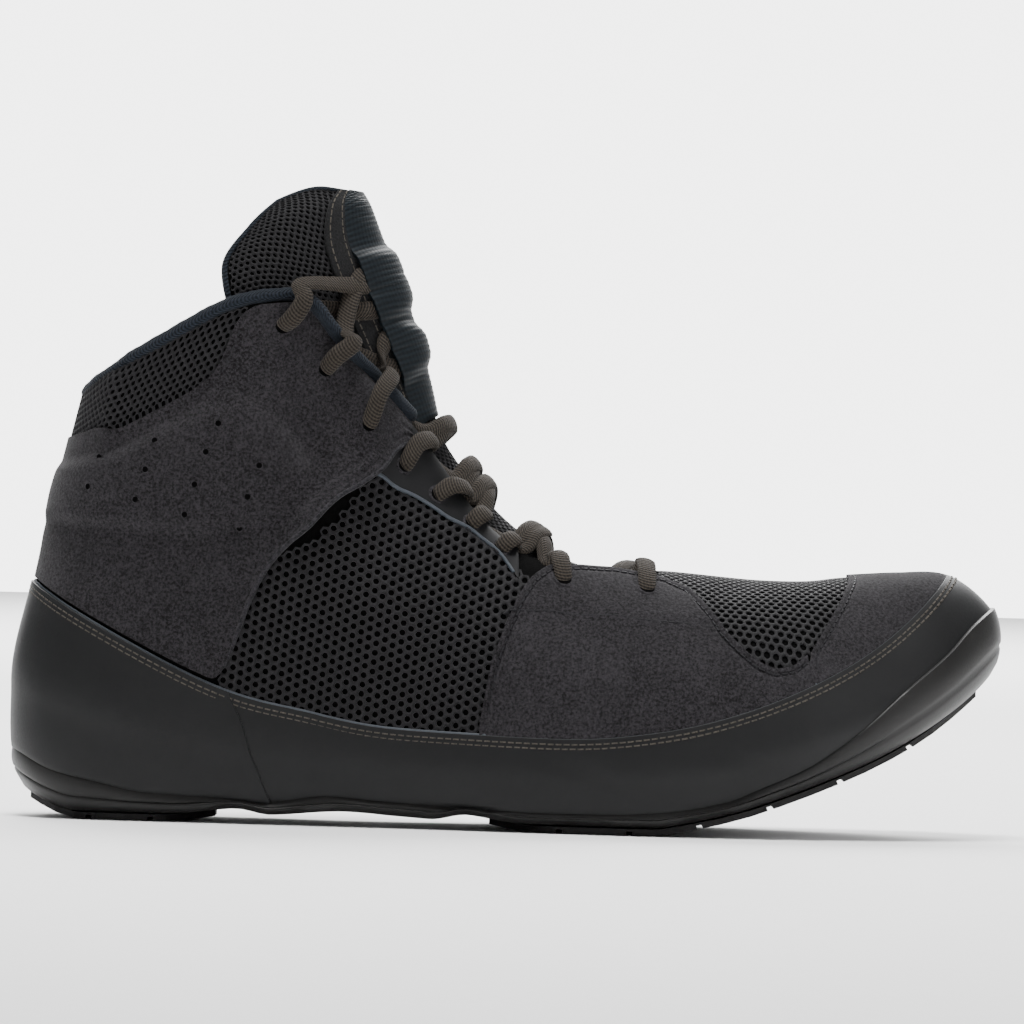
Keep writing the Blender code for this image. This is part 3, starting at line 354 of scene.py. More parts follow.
class Last:
    """The form of the foot as one surface over station (round the foot) and level (up it).

    Station 0 is the back of the heel, HALF_TURN the tip of the toe, and the outer side lies
    between them. Level 0 is the lower edge, 1 the wall, 2 the rand, 3 the middle, 4 the top line.
    """

    def __init__(self) -> None:
        """Sets up the rings of the five levels and their slopes."""
        self.rings = self.level_rows()
        self.turn = self.rings.shape[1]
        self.slopes = self.ring_slopes(self.rings)

    def level_rows(self) -> np.ndarray:
        """Rows of each level round the whole foot, as (x, signed out, z)."""
        outer = []
        for index, section in enumerate(HIND_SECTIONS + FORE_SECTIONS):
            hind = index < len(HIND_SECTIONS)
            width = (HEEL_WIDTH if hind else BALL_WIDTH) / 2
            height = SHAFT_HEIGHT if hind else INSTEP_HEIGHT
            rows = []
            for place, (along, up, out) in enumerate(section[1:]):
                rows.append((along * LENGTH, -out * width, up * (RAND_HEIGHT if place == 1 else height)))
            outer.append(rows)
        outer = np.array(outer)
        inner = outer[-2:0:-1] * (1, -1, 1)
        rows = np.concatenate([outer, inner]).transpose(1, 0, 2)
        tucks = [section.tuck * FEATHER_TUCK for section in HIND_SECTIONS + FORE_SECTIONS]
        tucks = np.array(tucks + tucks[-2:0:-1])
        wall = rows[0]
        run = np.roll(wall, -1, axis=0) - np.roll(wall, 1, axis=0)
        normal = np.stack([run[:, 1], -run[:, 0]], axis=1)
        normal /= np.linalg.norm(normal, axis=1)[:, None]
        feather = wall.copy()
        feather[:, :2] -= normal * tucks[:, None]
        feather[:, 2] = bed_height(feather[:, 0])
        return np.concatenate([feather[None], rows])

    def ring_slopes(self, rings: np.ndarray) -> np.ndarray:
        """Slopes of the closed cubic spline through each ring's rows."""
        count = rings.shape[1]
        matrix = np.eye(count) * 4 + np.roll(np.eye(count), 1, axis=1) + np.roll(np.eye(count), -1, axis=1)
        right = 3 * (np.roll(rings, -1, axis=1) - np.roll(rings, 1, axis=1))
        return np.stack([np.linalg.solve(matrix, level) for level in right])

    def level_points(self, station: np.ndarray) -> np.ndarray:
        """Points of the five levels at each station, shaped (level, station, xyz)."""
        station = np.mod(np.asarray(station, dtype=float), self.turn)
        row = np.floor(station).astype(int) % self.turn
        after = (row + 1) % self.turn
        part = (station - np.floor(station))[None, :, None]
        found = hermite(
            self.rings[:, row], self.rings[:, after], self.slopes[:, row], self.slopes[:, after], part
        )
        ridge = np.abs(station - HALF_TURN) <= HALF_TURN - THROAT_END + 1e-9
        found[4, ridge, 1] = 0.0
        found[0, :, 2] = bed_height(found[0, :, 0])
        return found

    def point(self, station: np.ndarray, level: np.ndarray) -> np.ndarray:
        """Points on the outside of the upper.

        Args:
            station: stations.
            level: levels, as many as the stations.

        Returns:
            Points, shaped (count, 3).
        """
        station, level = np.broadcast_arrays(np.asarray(station, float), np.asarray(level, float))
        knots = self.level_points(station)
        below = knots[0] + (knots[0] - knots[1]) * (0.9, 0.9, 0.0)
        open_top = smooth(0.15 * BALL_WIDTH, 0.35 * BALL_WIDTH, np.abs(knots[4, :, 1]))[:, None]
        mirrored = knots[3] * (1, -1, 1)
        beyond = 2 * knots[4] - knots[3]
        knots = np.concatenate([below[None], knots, (mirrored + (beyond - mirrored) * open_top)[None]])
        gaps = np.linalg.norm(np.diff(knots, axis=0), axis=2)[:, :, None]
        chord = np.diff(knots, axis=0) / gaps
        tangent = (chord[:-1] * gaps[1:] + chord[1:] * gaps[:-1]) / (gaps[1:] + gaps[:-1])
        row = np.clip(np.floor(level).astype(int), 0, 3)
        part = (level - row)[:, None]
        pick = np.arange(len(station))
        length = gaps[row + 1, pick]
        leaving, arriving = tangent[row, pick] * length, tangent[row + 1, pick] * length
        found = hermite(knots[row + 1, pick], knots[row + 2, pick], leaving, arriving, part)
        found[:, 1] += swing(found[:, 0], found[:, 2])
        return found

    def normal(self, station: np.ndarray, level: np.ndarray) -> np.ndarray:
        """Unit normals of the surface, pointing out of the foot."""
        station, level = np.broadcast_arrays(np.asarray(station, float), np.asarray(level, float))
        small = 0.02
        low, high = np.clip(level - small, 0, TOP_LEVEL), np.clip(level + small, 0, TOP_LEVEL)
        run = self.point(station + small, level) - self.point(station - small, level)
        rise = self.point(station, high) - self.point(station, low)
        ridge = (level >= TOP_LEVEL) & (
            np.abs(np.mod(station, self.turn) - HALF_TURN) < HALF_TURN - THROAT_END
        )
        rise[ridge] = rise[ridge] * (0, 1, 0)
        found = np.cross(run, rise)
        return found / np.linalg.norm(found, axis=1)[:, None]

    def at(self, station: np.ndarray, level: np.ndarray, out) -> np.ndarray:
        """Points that lie out from the upper's outside, or inside it where out is negative."""
        return self.point(station, level) + self.normal(station, level) * np.asarray(out)[..., None]

    def level_at_height(
        self, station: np.ndarray, height: Callable[[np.ndarray], np.ndarray]
    ) -> np.ndarray:
        """Level at which each station's rib reaches the height given by a function of x."""
        low = np.zeros(len(station))
        high = np.full(len(station), RAND_LEVEL)
        for _ in range(24):
            middle = (low + high) / 2
            found = self.point(station, middle)
            over = found[:, 2] > height(found[:, 0])
            high = np.where(over, middle, high)
            low = np.where(over, low, middle)
        return (low + high) / 2

    def find(self, targets: np.ndarray, axes: tuple[int, int], stations: tuple[float, float]) -> np.ndarray:
        """Finds the stations and levels whose points have the two coordinates asked for.

        Args:
            targets: wanted coordinates, shaped (count, 2).
            axes: which two of x, y and z they are.
            stations: first and last station to look at.

        Returns:
            Stations, levels and misses in metres, shaped (count, 3).
        """
        seeds = np.meshgrid(np.linspace(*stations, 70), np.linspace(1.6, TOP_LEVEL, 50), indexing="ij")
        seed_station, seed_level = (grid.ravel() for grid in seeds)
        seed_points = self.point(seed_station, seed_level)[:, axes]
        nearest = []
        for block in np.array_split(targets, max(1, len(targets) // 1500)):
            spread = ((block[:, None, :] - seed_points[None]) ** 2).sum(axis=2)
            nearest.append(spread.argmin(axis=1))
        nearest = np.concatenate(nearest)
        station, level = seed_station[nearest], seed_level[nearest]
        small = 1e-3
        for _ in range(7):
            here = self.point(station, level)[:, axes]
            by_station = (self.point(station + small, level)[:, axes] - here) / small
            by_level = (self.point(station, level - small)[:, axes] - here) / -small
            miss = targets - here
            area = by_station[:, 0] * by_level[:, 1] - by_station[:, 1] * by_level[:, 0]
            area = np.where(np.abs(area) < 1e-9, 1e-9, area)
            step_station = (miss[:, 0] * by_level[:, 1] - miss[:, 1] * by_level[:, 0]) / area
            step_level = (by_station[:, 0] * miss[:, 1] - by_station[:, 1] * miss[:, 0]) / area
            station = np.clip(
                station + np.clip(step_station, -0.4, 0.4), stations[0] - 0.5, stations[1] + 0.5
            )
            level = np.clip(level + np.clip(step_level, -0.2, 0.2), 1.2, TOP_LEVEL)
        miss = np.linalg.norm(targets - self.point(station, level)[:, axes], axis=1)
        return np.stack([station, level, miss], axis=1)


LAST = Last()


def fold_depth(station: np.ndarray, level: np.ndarray) -> np.ndarray:
    """Rise of the cloth's folds over the last, the same on both sides of the foot."""
    station, level = folded_station(station), np.asarray(level, dtype=float)
    depth = np.zeros(np.broadcast(station, level).shape)
    for fold in FOLDS:
        start = np.array([fold.station * STATION_RUN, fold.level * LEVEL_RISE])
        run = np.array([fold.end_station * STATION_RUN, fold.end_level * LEVEL_RISE]) - start
        long = float(run @ run)
        off = np.stack([station * STATION_RUN, level * LEVEL_RISE], axis=-1) - start
        part = np.clip((off @ run) / long, 0.0, 1.0)
        away = np.linalg.norm(off - part[..., None] * run, axis=-1)
        fade = np.sin(np.pi * np.clip(0.08 + 0.84 * part, 0, 1)) ** 0.8
        depth += fold.rise * np.exp(-((away / fold.width) ** 2)) * fade
    return depth


def skin(station: np.ndarray, level: np.ndarray, out) -> np.ndarray:
    """Points that lie out from the folded cloth of the upper."""
    return LAST.at(station, level, np.asarray(out) + fold_depth(station, level))


def tongue_point(row: np.ndarray, lean: np.ndarray) -> np.ndarray:
    """Points on the tongue's outside.

    Args:
        row: hoop numbers, with parts between the hoops.
        lean: from -1 at the outer tip through 0 at the crest to 1 at the inner tip.

    Returns:
        Points, shaped (count, 3).
    """
    rows = []
    for hoops, height, width in (
        (VAMP_HOOPS, INSTEP_HEIGHT, BALL_WIDTH / 2),
        (SHAFT_HOOPS, SHAFT_HEIGHT + TONGUE_RISE, HEEL_WIDTH / 2),
    ):
        scale = np.array([LENGTH, height, LENGTH, height, width])
        rows += [np.array(hoop) * scale for hoop in hoops]
    numbers = np.arange(len(rows))
    crest_x, crest_z, tip_x, tip_z, tip_out = (
        monotone(np.stack([numbers, column], axis=1), row) for column in np.array(rows).T
    )
    turn = lean * math.pi / 2
    back = 1 - np.cos(turn)
    x = crest_x + (tip_x - crest_x) * back
    z = crest_z + (tip_z - crest_z) * back
    return np.stack([x, np.sin(turn) * tip_out + swing(x, z), z], axis=1)


def tongue_normal(row: np.ndarray, lean: np.ndarray) -> np.ndarray:
    """Unit normals of the tongue's outside."""
    small = 0.01
    low, high = np.clip(row - small, 0, TONGUE_LAST), np.clip(row + small, 0, TONGUE_LAST)
    up = tongue_point(high, lean) - tongue_point(low, lean)
    side = tongue_point(row, lean + small) - tongue_point(row, lean - small)
    normal = np.cross(side, up)
    return normal / np.linalg.norm(normal, axis=1)[:, None]


def tongue_at(row: np.ndarray, lean: np.ndarray, out) -> np.ndarray:
    """Points out from the tongue's outside, or inside it where out is negative."""
    row, lean = np.broadcast_arrays(np.asarray(row, float), np.asarray(lean, float))
    return tongue_point(row, lean) + tongue_normal(row, lean) * np.asarray(out)[..., None]


# Folds of the cloth, on the outer side and mirrored
# A station is about STATION_RUN long and a level LEVEL_RISE high
STATION_RUN = 0.0155
LEVEL_RISE = 0.034
FOLDS = (
    Fold(3.25, 3.84, 4.95, 3.30, 0.0045, -0.0007),
    Fold(3.70, 3.86, 5.60, 3.36, 0.0050, 0.0006),
    Fold(0.60, 2.45, 3.00, 2.58, 0.0045, -0.0006),
    Fold(-0.60, 2.52, 1.90, 2.40, 0.0050, 0.0004),
    Fold(2.70, 3.30, 3.30, 2.75, 0.0045, -0.0005),
    Fold(3.40, 2.40, 4.60, 2.86, 0.0035, 0.0006),
    Fold(4.60, 2.60, 6.40, 3.15, 0.0050, -0.0006),
    Fold(5.60, 2.30, 7.40, 2.70, 0.0060, 0.0004),
    Fold(9.20, 3.50, 10.60, 2.75, 0.0050, -0.0005),
    Fold(10.80, 2.95, 11.90, 2.40, 0.0040, 0.0004),
    Fold(9.40, 1.50, 10.60, 0.90, 0.0060, -0.0004),
    Fold(11.80, 1.70, 12.90, 1.00, 0.0050, -0.0004),
    Fold(1.60, 1.55, 2.40, 0.50, 0.0070, 0.0004),
    Fold(12.60, 3.35, 13.60, 3.80, 0.0050, -0.0004),
)


def origin_shift() -> np.ndarray:
    """What takes a point of the last to the frame's own place."""
    return np.array([HEEL_TO_ORIGIN, 0.0, 0.0])


def deselect() -> None:
    """Leaves nothing selected."""
    if bpy.context.object and bpy.context.object.mode != "OBJECT":
        bpy.ops.object.mode_set(mode="OBJECT")
    bpy.ops.object.select_all(action="DESELECT")


def select_only(piece: bpy.types.Object) -> None:
    """Makes one object the selected and active one."""
    deselect()
    piece.select_set(True)
    bpy.context.view_layer.objects.active = piece


def apply_modifiers(piece: bpy.types.Object) -> None:
    """Applies all of an object's modifiers in order."""
    select_only(piece)
    for modifier in list(piece.modifiers):
        bpy.ops.object.modifier_apply(modifier=modifier.name)


def in_edit_mode(piece: bpy.types.Object, *steps: Callable[[], object]) -> None:
    """Runs edit-mode operators on the whole mesh of one object."""
    select_only(piece)
    bpy.ops.object.mode_set(mode="EDIT")
    bpy.ops.mesh.select_all(action="SELECT")
    for step in steps:
        step()
    bpy.ops.object.mode_set(mode="OBJECT")


def arcs(points: np.ndarray, axis: int) -> np.ndarray:
    """Length run along one axis of a grid of points, from its first row."""
    steps = np.linalg.norm(np.diff(points, axis=axis), axis=-1)
    first = np.zeros_like(np.take(steps, [0], axis=axis))
    return np.concatenate([first, np.cumsum(steps, axis=axis)], axis=axis)


def cloth_grid(name: str, points: np.ndarray) -> bpy.types.Object:
    """Lays a grid primitive over points, with its UV map in metres of cloth.

    Args:
        name: the object's name.
        points: places on the last, shaped (columns, rows, xyz).

    Returns:
        The sheet's object, facing out.
    """
    columns, rows = points.shape[:2]
    deselect()
    bpy.ops.mesh.primitive_grid_add(x_subdivisions=columns - 1, y_subdivisions=rows - 1, size=1.0)
    piece = bpy.context.object
    piece.name = piece.data.name = name
    mesh = piece.data
    mesh.vertices.foreach_set("co", (points - origin_shift()).transpose(1, 0, 2).ravel())
    flat = np.stack([arcs(points, 0), arcs(points, 1)], axis=-1).transpose(1, 0, 2).reshape(-1, 2)
    corners = np.zeros(len(mesh.loops), dtype=np.int64)
    mesh.loops.foreach_get("vertex_index", corners)
    mesh.uv_layers[0].data.foreach_set("uv", flat[corners].ravel())
    mesh.update()
    return piece


def weld_seam(piece: bpy.types.Object) -> None:
    """Closes a sheet whose first and last columns lie on each other."""
    in_edit_mode(piece, lambda: bpy.ops.mesh.remove_doubles(threshold=1e-6))


def give_wall(piece: bpy.types.Object, wall: float, inward: bool = True, bevel: float = 0.0) -> None:
    """Gives a sheet its thickness and softens its cut edge.

    Args:
        piece: the sheet.
        wall: thickness in metres.
        inward: whether the wall lies behind the sheet, or else before it.
        bevel: width of the softened edge, or 0.
    """
    solid = piece.modifiers.new("wall", "SOLIDIFY")
    solid.thickness = wall
    solid.offset = -1.0 if inward else 1.0
    if bevel:
        edge = piece.modifiers.new("edge", "BEVEL")
        edge.width = bevel
        edge.segments = 2
        edge.limit_method = "ANGLE"
        edge.angle_limit = math.radians(55)
    apply_modifiers(piece)


def finish_piece(
    piece: bpy.types.Object, look: bpy.types.Material, nodes: Sequence[str] = ()
) -> None:
    """Gives a piece its finish, smooth shading, its place on the body and the nodes that it stands for."""
    piece.data.materials.clear()
    piece.data.materials.append(look)
    select_only(piece)
    bpy.ops.object.shade_smooth_by_angle(angle=math.radians(48))
    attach(piece, BODY)
    if nodes:
        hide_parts(*nodes)
    LOG.info("%s: %d faces", piece.name, len(piece.data.polygons))


class Pattern(NamedTuple):
    """A small form modelled once: its points and faces, lying flat with its front up +Z."""

    points: np.ndarray
    faces: list


def take_pattern(piece: bpy.types.Object) -> Pattern:
    """Reads a modelled form as a pattern and removes its object."""
    points = np.array([tuple(vertex.co) for vertex in piece.data.vertices])
    faces = [tuple(polygon.vertices) for polygon in piece.data.polygons]
    bpy.data.objects.remove(piece, do_unlink=True)
    return Pattern(points, faces)


def mesh_piece(name: str, points: np.ndarray, faces: Sequence[Sequence[int]]) -> bpy.types.Object:
    """An object from points on the last and faces."""
    mesh = bpy.data.meshes.new(name)
    mesh.from_pydata((points - origin_shift()).tolist(), [], [tuple(face) for face in faces])
    mesh.update()
    piece = bpy.data.objects.new(name, mesh)
    bpy.context.scene.collection.objects.link(piece)
    return piece


def copy_along(
    pattern: Pattern, places: np.ndarray, along: np.ndarray, out: np.ndarray
) -> tuple[np.ndarray, list]:
    """Copies a pattern to each place, its X along and its Z out.

    Args:
        pattern: the form.
        places: places on the last, shaped (count, 3).
        along: direction of each copy's X axis.
        out: direction of each copy's Z axis.

    Returns:
        Points and faces of all the copies.
    """
    out = out / np.linalg.norm(out, axis=1)[:, None]
    along = along - out * (along * out).sum(axis=1)[:, None]
    along = along / np.linalg.norm(along, axis=1)[:, None]
    across = np.cross(out, along)
    axes = np.stack([along, across, out], axis=1)
    points = places[:, None, :] + np.einsum("pk,nkd->npd", pattern.points, axes)
    size = len(pattern.points)
    faces = [
        tuple(
            corner + number * size for corner in face
        ) for number in range(len(places)) for face in pattern.faces
    ]
    return points.reshape(-1, 3), faces


def resample(points: np.ndarray, step: float) -> tuple[np.ndarray, np.ndarray]:
    """Even places along a line, and the shares of its rows that they lie at."""
    run = arcs(points[:, None, :], 0)[:, 0]
    count = max(2, int(round(run[-1] / step)))
    at = (np.arange(count) + 0.5) * run[-1] / count
    rows = np.interp(at, run, np.arange(len(points)))
    return np.stack([np.interp(at, run, column) for column in points.T], axis=1), rows


@dataclass
class Seams:
    """Rows of stitches, each stitch a copy of one that is modelled once."""

    length: float = 0.0017
    radius: float = 0.00032
    pitch: float = 0.0023
    points: list = field(default_factory=list)
    faces: list = field(default_factory=list)
    count: int = 0

    def stitch(self) -> Pattern:
        """One stitch: a short thread that dips into the cloth at both ends."""
        deselect()
        bpy.ops.mesh.primitive_cylinder_add(
            vertices=6, radius=self.radius, depth=self.length, end_fill_type="NGON"
        )
        piece = bpy.context.object
        in_edit_mode(
            piece,
            lambda: bpy.ops.transform.rotate(value=math.pi / 2, orient_axis="Y", center_override=(0, 0, 0)),
        )
        pattern = take_pattern(piece)
        points = pattern.points
        ends = np.abs(points[:, 0]) > 0.4 * self.length
        points[ends, 2] -= self.radius * 0.9
        return Pattern(points, pattern.faces)

    def sew(self, line: np.ndarray, out: np.ndarray, offset: float = 0.0) -> None:
        """Adds a row of stitches.

        Args:
            line: points of the row on the last.
            out: directions that face out there.
            offset: how far the row lies to the side of the line, in metres.
        """
        tangent = np.gradient(line, axis=0)
        side = np.cross(out, tangent)
        side /= np.linalg.norm(side, axis=1)[:, None]
        line = line + side * offset
        places, rows = resample(line, self.pitch)
        numbers = np.arange(len(line))
        facing = np.stack([np.interp(rows, numbers, column) for column in out.T], axis=1)
        heading = np.stack([np.interp(rows, numbers, column) for column in tangent.T], axis=1)
        points, faces = copy_along(self.stitch(), places, heading, facing)
        self.faces += [tuple(corner + self.count for corner in face) for face in faces]
        self.points.append(points)
        self.count += len(points)

    def build(self, name: str, look: bpy.types.Material, slot: str) -> bpy.types.Object:
        """Makes one object of all the rows sewn so far."""
        piece = mesh_piece(name, np.concatenate(self.points), self.faces)
        finish_piece(piece, look)
        return piece


def edge_level(table: Sequence[Edge], stations: np.ndarray, soften: float = 0.10) -> np.ndarray:
    """Level of a panel's edge at each station, alike on both sides, with its corners a little rounded."""
    station, level = np.array(table).T
    shifts = np.linspace(-soften, soften, 5)
    folded = folded_station(stations)
    return np.mean([np.interp(folded + shift, station, level) for shift in shifts], axis=0)


def edge_gap(
    table: Sequence[Edge], station: np.ndarray, level: np.ndarray, soften: float = 0.10
) -> np.ndarray:
    """How far over a panel's edge places lie, in metres square to the edge."""
    edge = edge_level(table, station, soften)
    small = 0.03
    rise = LAST.point(station, edge + small) - LAST.point(station, edge - small)
    run = LAST.point(station + small, edge) - LAST.point(station - small, edge)
    rise, run = np.linalg.norm(rise, axis=-1) / small / 2, np.linalg.norm(run, axis=-1) / small / 2
    slope = (
        edge_level(table, station + small, soften) - edge_level(table, station - small, soften)
    ) / small / 2
    slope *= rise / np.maximum(run, 1e-5)
    return (level - edge) * rise / np.sqrt(1 + slope**2)


def inset_level(
    table: Sequence[Edge], station: np.ndarray, inset: float, soften: float = 0.10
) -> np.ndarray:
    """Levels that lie a distance in metres over a panel's edge, square to it."""
    edge = edge_level(table, station, soften)
    per_level = edge_gap(table, station, edge + 0.02, soften) / 0.02
    return edge + inset / np.maximum(per_level, 0.008)


def stitch_groove(gap: np.ndarray, inset: float = 0.0019) -> np.ndarray:
    """Trough that a row of stitches draws into a panel, at a distance in from its edge."""
    return -0.00042 * np.exp(-(((gap - inset) / 0.00065) ** 2))


def spread_rows(count: int) -> np.ndarray:
    """Shares from 0 to 1 that lie closer together at both ends."""
    part = np.linspace(0.0, 1.0, count)
    return 0.35 * part + 0.65 * (0.5 - 0.5 * np.cos(np.pi * part))


def tube_grid(
    line: np.ndarray, out: np.ndarray, width: np.ndarray, thick: np.ndarray, sides: int
) -> np.ndarray:
    """Grid of points round a cord of oval section.

    Args:
        line: points of the centre line.
        out: directions that the flat face looks.
        width: half width at each point.
        thick: half thickness at each point.
        sides: number of points round it.

    Returns:
        Points shaped (sides + 1, rows, xyz), the first column again at the end.
    """
    run = np.gradient(line, axis=0)
    run /= np.linalg.norm(run, axis=1)[:, None]
    side = np.cross(run, out)
    side /= np.linalg.norm(side, axis=1)[:, None]
    up = np.cross(run, side)
    turns = np.linspace(0, 2 * np.pi, sides + 1)
    columns = [
        line + side * (
            np.cos(turn) * width
        )[:, None] + up * (np.sin(turn) * thick)[:, None] for turn in turns
    ]
    return np.stack(columns, axis=0)


def close_tube(piece: bpy.types.Object) -> None:
    """Welds a tube's seam and fills its two ends."""
    in_edit_mode(
        piece,
        lambda: bpy.ops.mesh.remove_doubles(threshold=1e-7),
        lambda: bpy.ops.mesh.fill_holes(sides=0),
    )


def soft_path(points: np.ndarray, step: float) -> np.ndarray:
    """Smooth line through points and any columns beside them, sampled about every step metres.

    Args:
        points: rows whose first three columns are x, y and z.
        step: spacing.

    Returns:
        Rows of the same columns.
    """
    run = np.concatenate([[0], np.cumsum(np.linalg.norm(np.diff(points[:, :3], axis=0), axis=1) ** 0.5)])
    slopes = np.gradient(points, run, axis=0)
    long = np.linalg.norm(np.diff(points[:, :3], axis=0), axis=1).sum()
    at = np.linspace(0, run[-1], max(8, int(long / step)))
    row = np.clip(np.searchsorted(run, at, side="right") - 1, 0, len(run) - 2)
    gap = (run[row + 1] - run[row])[:, None]
    part = ((at - run[row])[:, None]) / gap
    return hermite(points[row], points[row + 1], slopes[row] * gap, slopes[row + 1] * gap, part)


class Grain(Enum):
    """Surface patterns that a finish can have."""

    NAP = "nap"
    HIDE = "hide"
    RIB = "rib"
    KNIT = "knit"
    RUBBER = "rubber"


def put(tree: bpy.types.NodeTree, kind: str, inputs: Optional[dict] = None, **settings) -> bpy.types.Node:
    """Adds a node, sets it, and gives its inputs values or links.

    Args:
        tree: the node tree.
        kind: the node's type.
        inputs: value or output socket for each input, by name or number.
        **settings: the node's own settings.

    Returns:
        The node.
    """
    made = tree.nodes.new(kind)
    for key, value in settings.items():
        setattr(made, key, value)
    for key, value in (inputs or {}).items():
        if isinstance(value, bpy.types.NodeSocket):
            tree.links.new(value, made.inputs[key])
        else:
            made.inputs[key].default_value = value
    return made


def new_group(name: str, inputs: Sequence[tuple[str, str]], outputs: Sequence[tuple[str, str]]) -> tuple:
    """Starts a shader group with named sockets.

    Args:
        name: the group's name.
        inputs: name and kind of each input.
        outputs: name and kind of each output.

    Returns:
        The tree, its input node and its output node.
    """
    tree = bpy.data.node_groups.new(name, "ShaderNodeTree")
    for label, kind in inputs:
        tree.interface.new_socket(name=label, in_out="INPUT", socket_type=f"NodeSocket{kind}")
    for label, kind in outputs:
        tree.interface.new_socket(name=label, in_out="OUTPUT", socket_type=f"NodeSocket{kind}")
    return tree, tree.nodes.new("NodeGroupInput"), tree.nodes.new("NodeGroupOutput")


COLOUR_IN = (
    ("Place", "Vector"), ("Dark", "Color"), ("Light", "Color"), ("Scale", "Float"),
    ("Contrast", "Float"),
)
COLOUR_OUT = (("Color", "Color"), ("Height", "Float"))


def sum_of(
    tree: bpy.types.NodeTree, first: object, share: float, second: object, rest: float
) -> bpy.types.NodeSocket:
    """Weighted sum of two values."""
    scaled = put(tree, "ShaderNodeMath", {0: first, 1: share}, operation="MULTIPLY").outputs[0]
    return put(tree, "ShaderNodeMath", {0: second, 1: rest, 2: scaled}, operation="MULTIPLY_ADD").outputs[0]


def spread(tree: bpy.types.NodeTree, value: object, contrast: object) -> bpy.types.NodeSocket:
    """Stretches a value about one half and keeps it between 0 and 1."""
    off = put(tree, "ShaderNodeMath", {0: value, 1: 0.5}, operation="SUBTRACT").outputs[0]
    return put(
        tree, "ShaderNodeMath", {0: off, 1: contrast, 2: 0.5}, operation="MULTIPLY_ADD", use_clamp=True
    ).outputs[0]


def scaled(tree: bpy.types.NodeTree, scale: object, factor: float) -> bpy.types.NodeSocket:
    """A scale times a factor."""
    return put(tree, "ShaderNodeMath", {0: scale, 1: factor}, operation="MULTIPLY").outputs[0]


def finish_group(
    tree: bpy.types.NodeTree, given: bpy.types.Node, end: bpy.types.Node, tone: object, height: object
) -> None:
    """Mixes a group's two colours by a tone and puts out the height."""
    mix = put(tree, "ShaderNodeMix", data_type="RGBA")
    tree.links.new(spread(tree, tone, given.outputs["Contrast"]), mix.inputs["Factor"])
    tree.links.new(given.outputs["Dark"], mix.inputs["A"])
    tree.links.new(given.outputs["Light"], mix.inputs["B"])
    tree.links.new(mix.outputs["Result"], end.inputs["Color"])
    tree.links.new(height, end.inputs["Height"])


def nap_group() -> bpy.types.NodeTree:
    """Brushed fibres: a fine speckle over slow patches where the nap lies another way."""
    tree, given, end = new_group("brushed_nap", COLOUR_IN, COLOUR_OUT)
    place, scale = given.outputs["Place"], given.outputs["Scale"]
    fine = put(
        tree, "ShaderNodeTexNoise", {"Vector": place, "Scale": scale, "Detail": 3.0, "Roughness": 0.7}
    )
    patch = put(
        tree, "ShaderNodeTexNoise",
        {"Vector": place, "Scale": scaled(tree, scale, 0.045), "Detail": 3.0},
    )
    fibre = put(tree, "ShaderNodeTexVoronoi", {"Vector": place, "Scale": scaled(tree, scale, 0.8)})
    specks = put(
        tree, "ShaderNodeMath", {0: fibre.outputs["Distance"], 1: 0.15}, operation="LESS_THAN"
    ).outputs[0]
    tone = sum_of(tree, fine.outputs[0], 0.87, patch.outputs[0], 0.13)
    tone = put(tree, "ShaderNodeMath", {0: specks, 1: 0.22, 2: tone}, operation="MULTIPLY_ADD").outputs[0]
    finish_group(tree, given, end, tone, fine.outputs[0])
    return tree


def hide_group() -> bpy.types.NodeTree:
    """Fine pebbled film: small cells with shallow valleys, and a slow change of tone."""
    tree, given, end = new_group("pebbled_film", COLOUR_IN, COLOUR_OUT)
    place, scale = given.outputs["Place"], given.outputs["Scale"]
    cells = put(tree, "ShaderNodeTexVoronoi", {"Vector": place, "Scale": scale}, feature="SMOOTH_F1")
    fine = put(
        tree, "ShaderNodeTexNoise", {"Vector": place, "Scale": scaled(tree, scale, 1.7), "Detail": 2.0}
    )
    slow = put(
        tree, "ShaderNodeTexNoise", {"Vector": place, "Scale": scaled(tree, scale, 0.02), "Detail": 4.0}
    )
    height = sum_of(tree, cells.outputs["Distance"], 0.7, fine.outputs[0], 0.3)
    tone = sum_of(tree, slow.outputs[0], 0.75, fine.outputs[0], 0.25)
    finish_group(tree, given, end, tone, height)
    return tree


def rib_group() -> bpy.types.NodeTree:
    """Woven ribs across a cord or tape, from its UV map, with a thread's grain."""
    tree, given, end = new_group("woven_ribs", COLOUR_IN, COLOUR_OUT)
    place, scale = given.outputs["Place"], given.outputs["Scale"]
    axes = put(tree, "ShaderNodeSeparateXYZ", {0: place})
    along = put(
        tree, "ShaderNodeMath", {0: axes.outputs[1], 1: scaled(tree, scale, 6.2832)},
        operation="MULTIPLY",
    ).outputs[0]
    across = put(
        tree, "ShaderNodeMath", {0: axes.outputs[0], 1: scaled(tree, scale, 6.2832)},
        operation="MULTIPLY",
    ).outputs[0]
    slanted = put(
        tree, "ShaderNodeMath", {0: across, 1: 0.10, 2: along}, operation="MULTIPLY_ADD"
    ).outputs[0]
    rib = put(tree, "ShaderNodeMath", {0: slanted}, operation="SINE").outputs[0]
    thread = put(tree, "ShaderNodeMath", {0: across}, operation="SINE").outputs[0]
    weave = sum_of(tree, rib, 0.35, thread, 0.12)
    lifted = put(tree, "ShaderNodeMath", {0: weave, 1: 0.5}, operation="ADD").outputs[0]
    fuzz = put(
        tree, "ShaderNodeTexNoise", {"Vector": place, "Scale": scaled(tree, scale, 3.1), "Detail": 3.0}
    )
    tone = sum_of(tree, lifted, 0.6, fuzz.outputs[0], 0.4)
    finish_group(tree, given, end, tone, sum_of(tree, lifted, 0.8, fuzz.outputs[0], 0.2))
    return tree


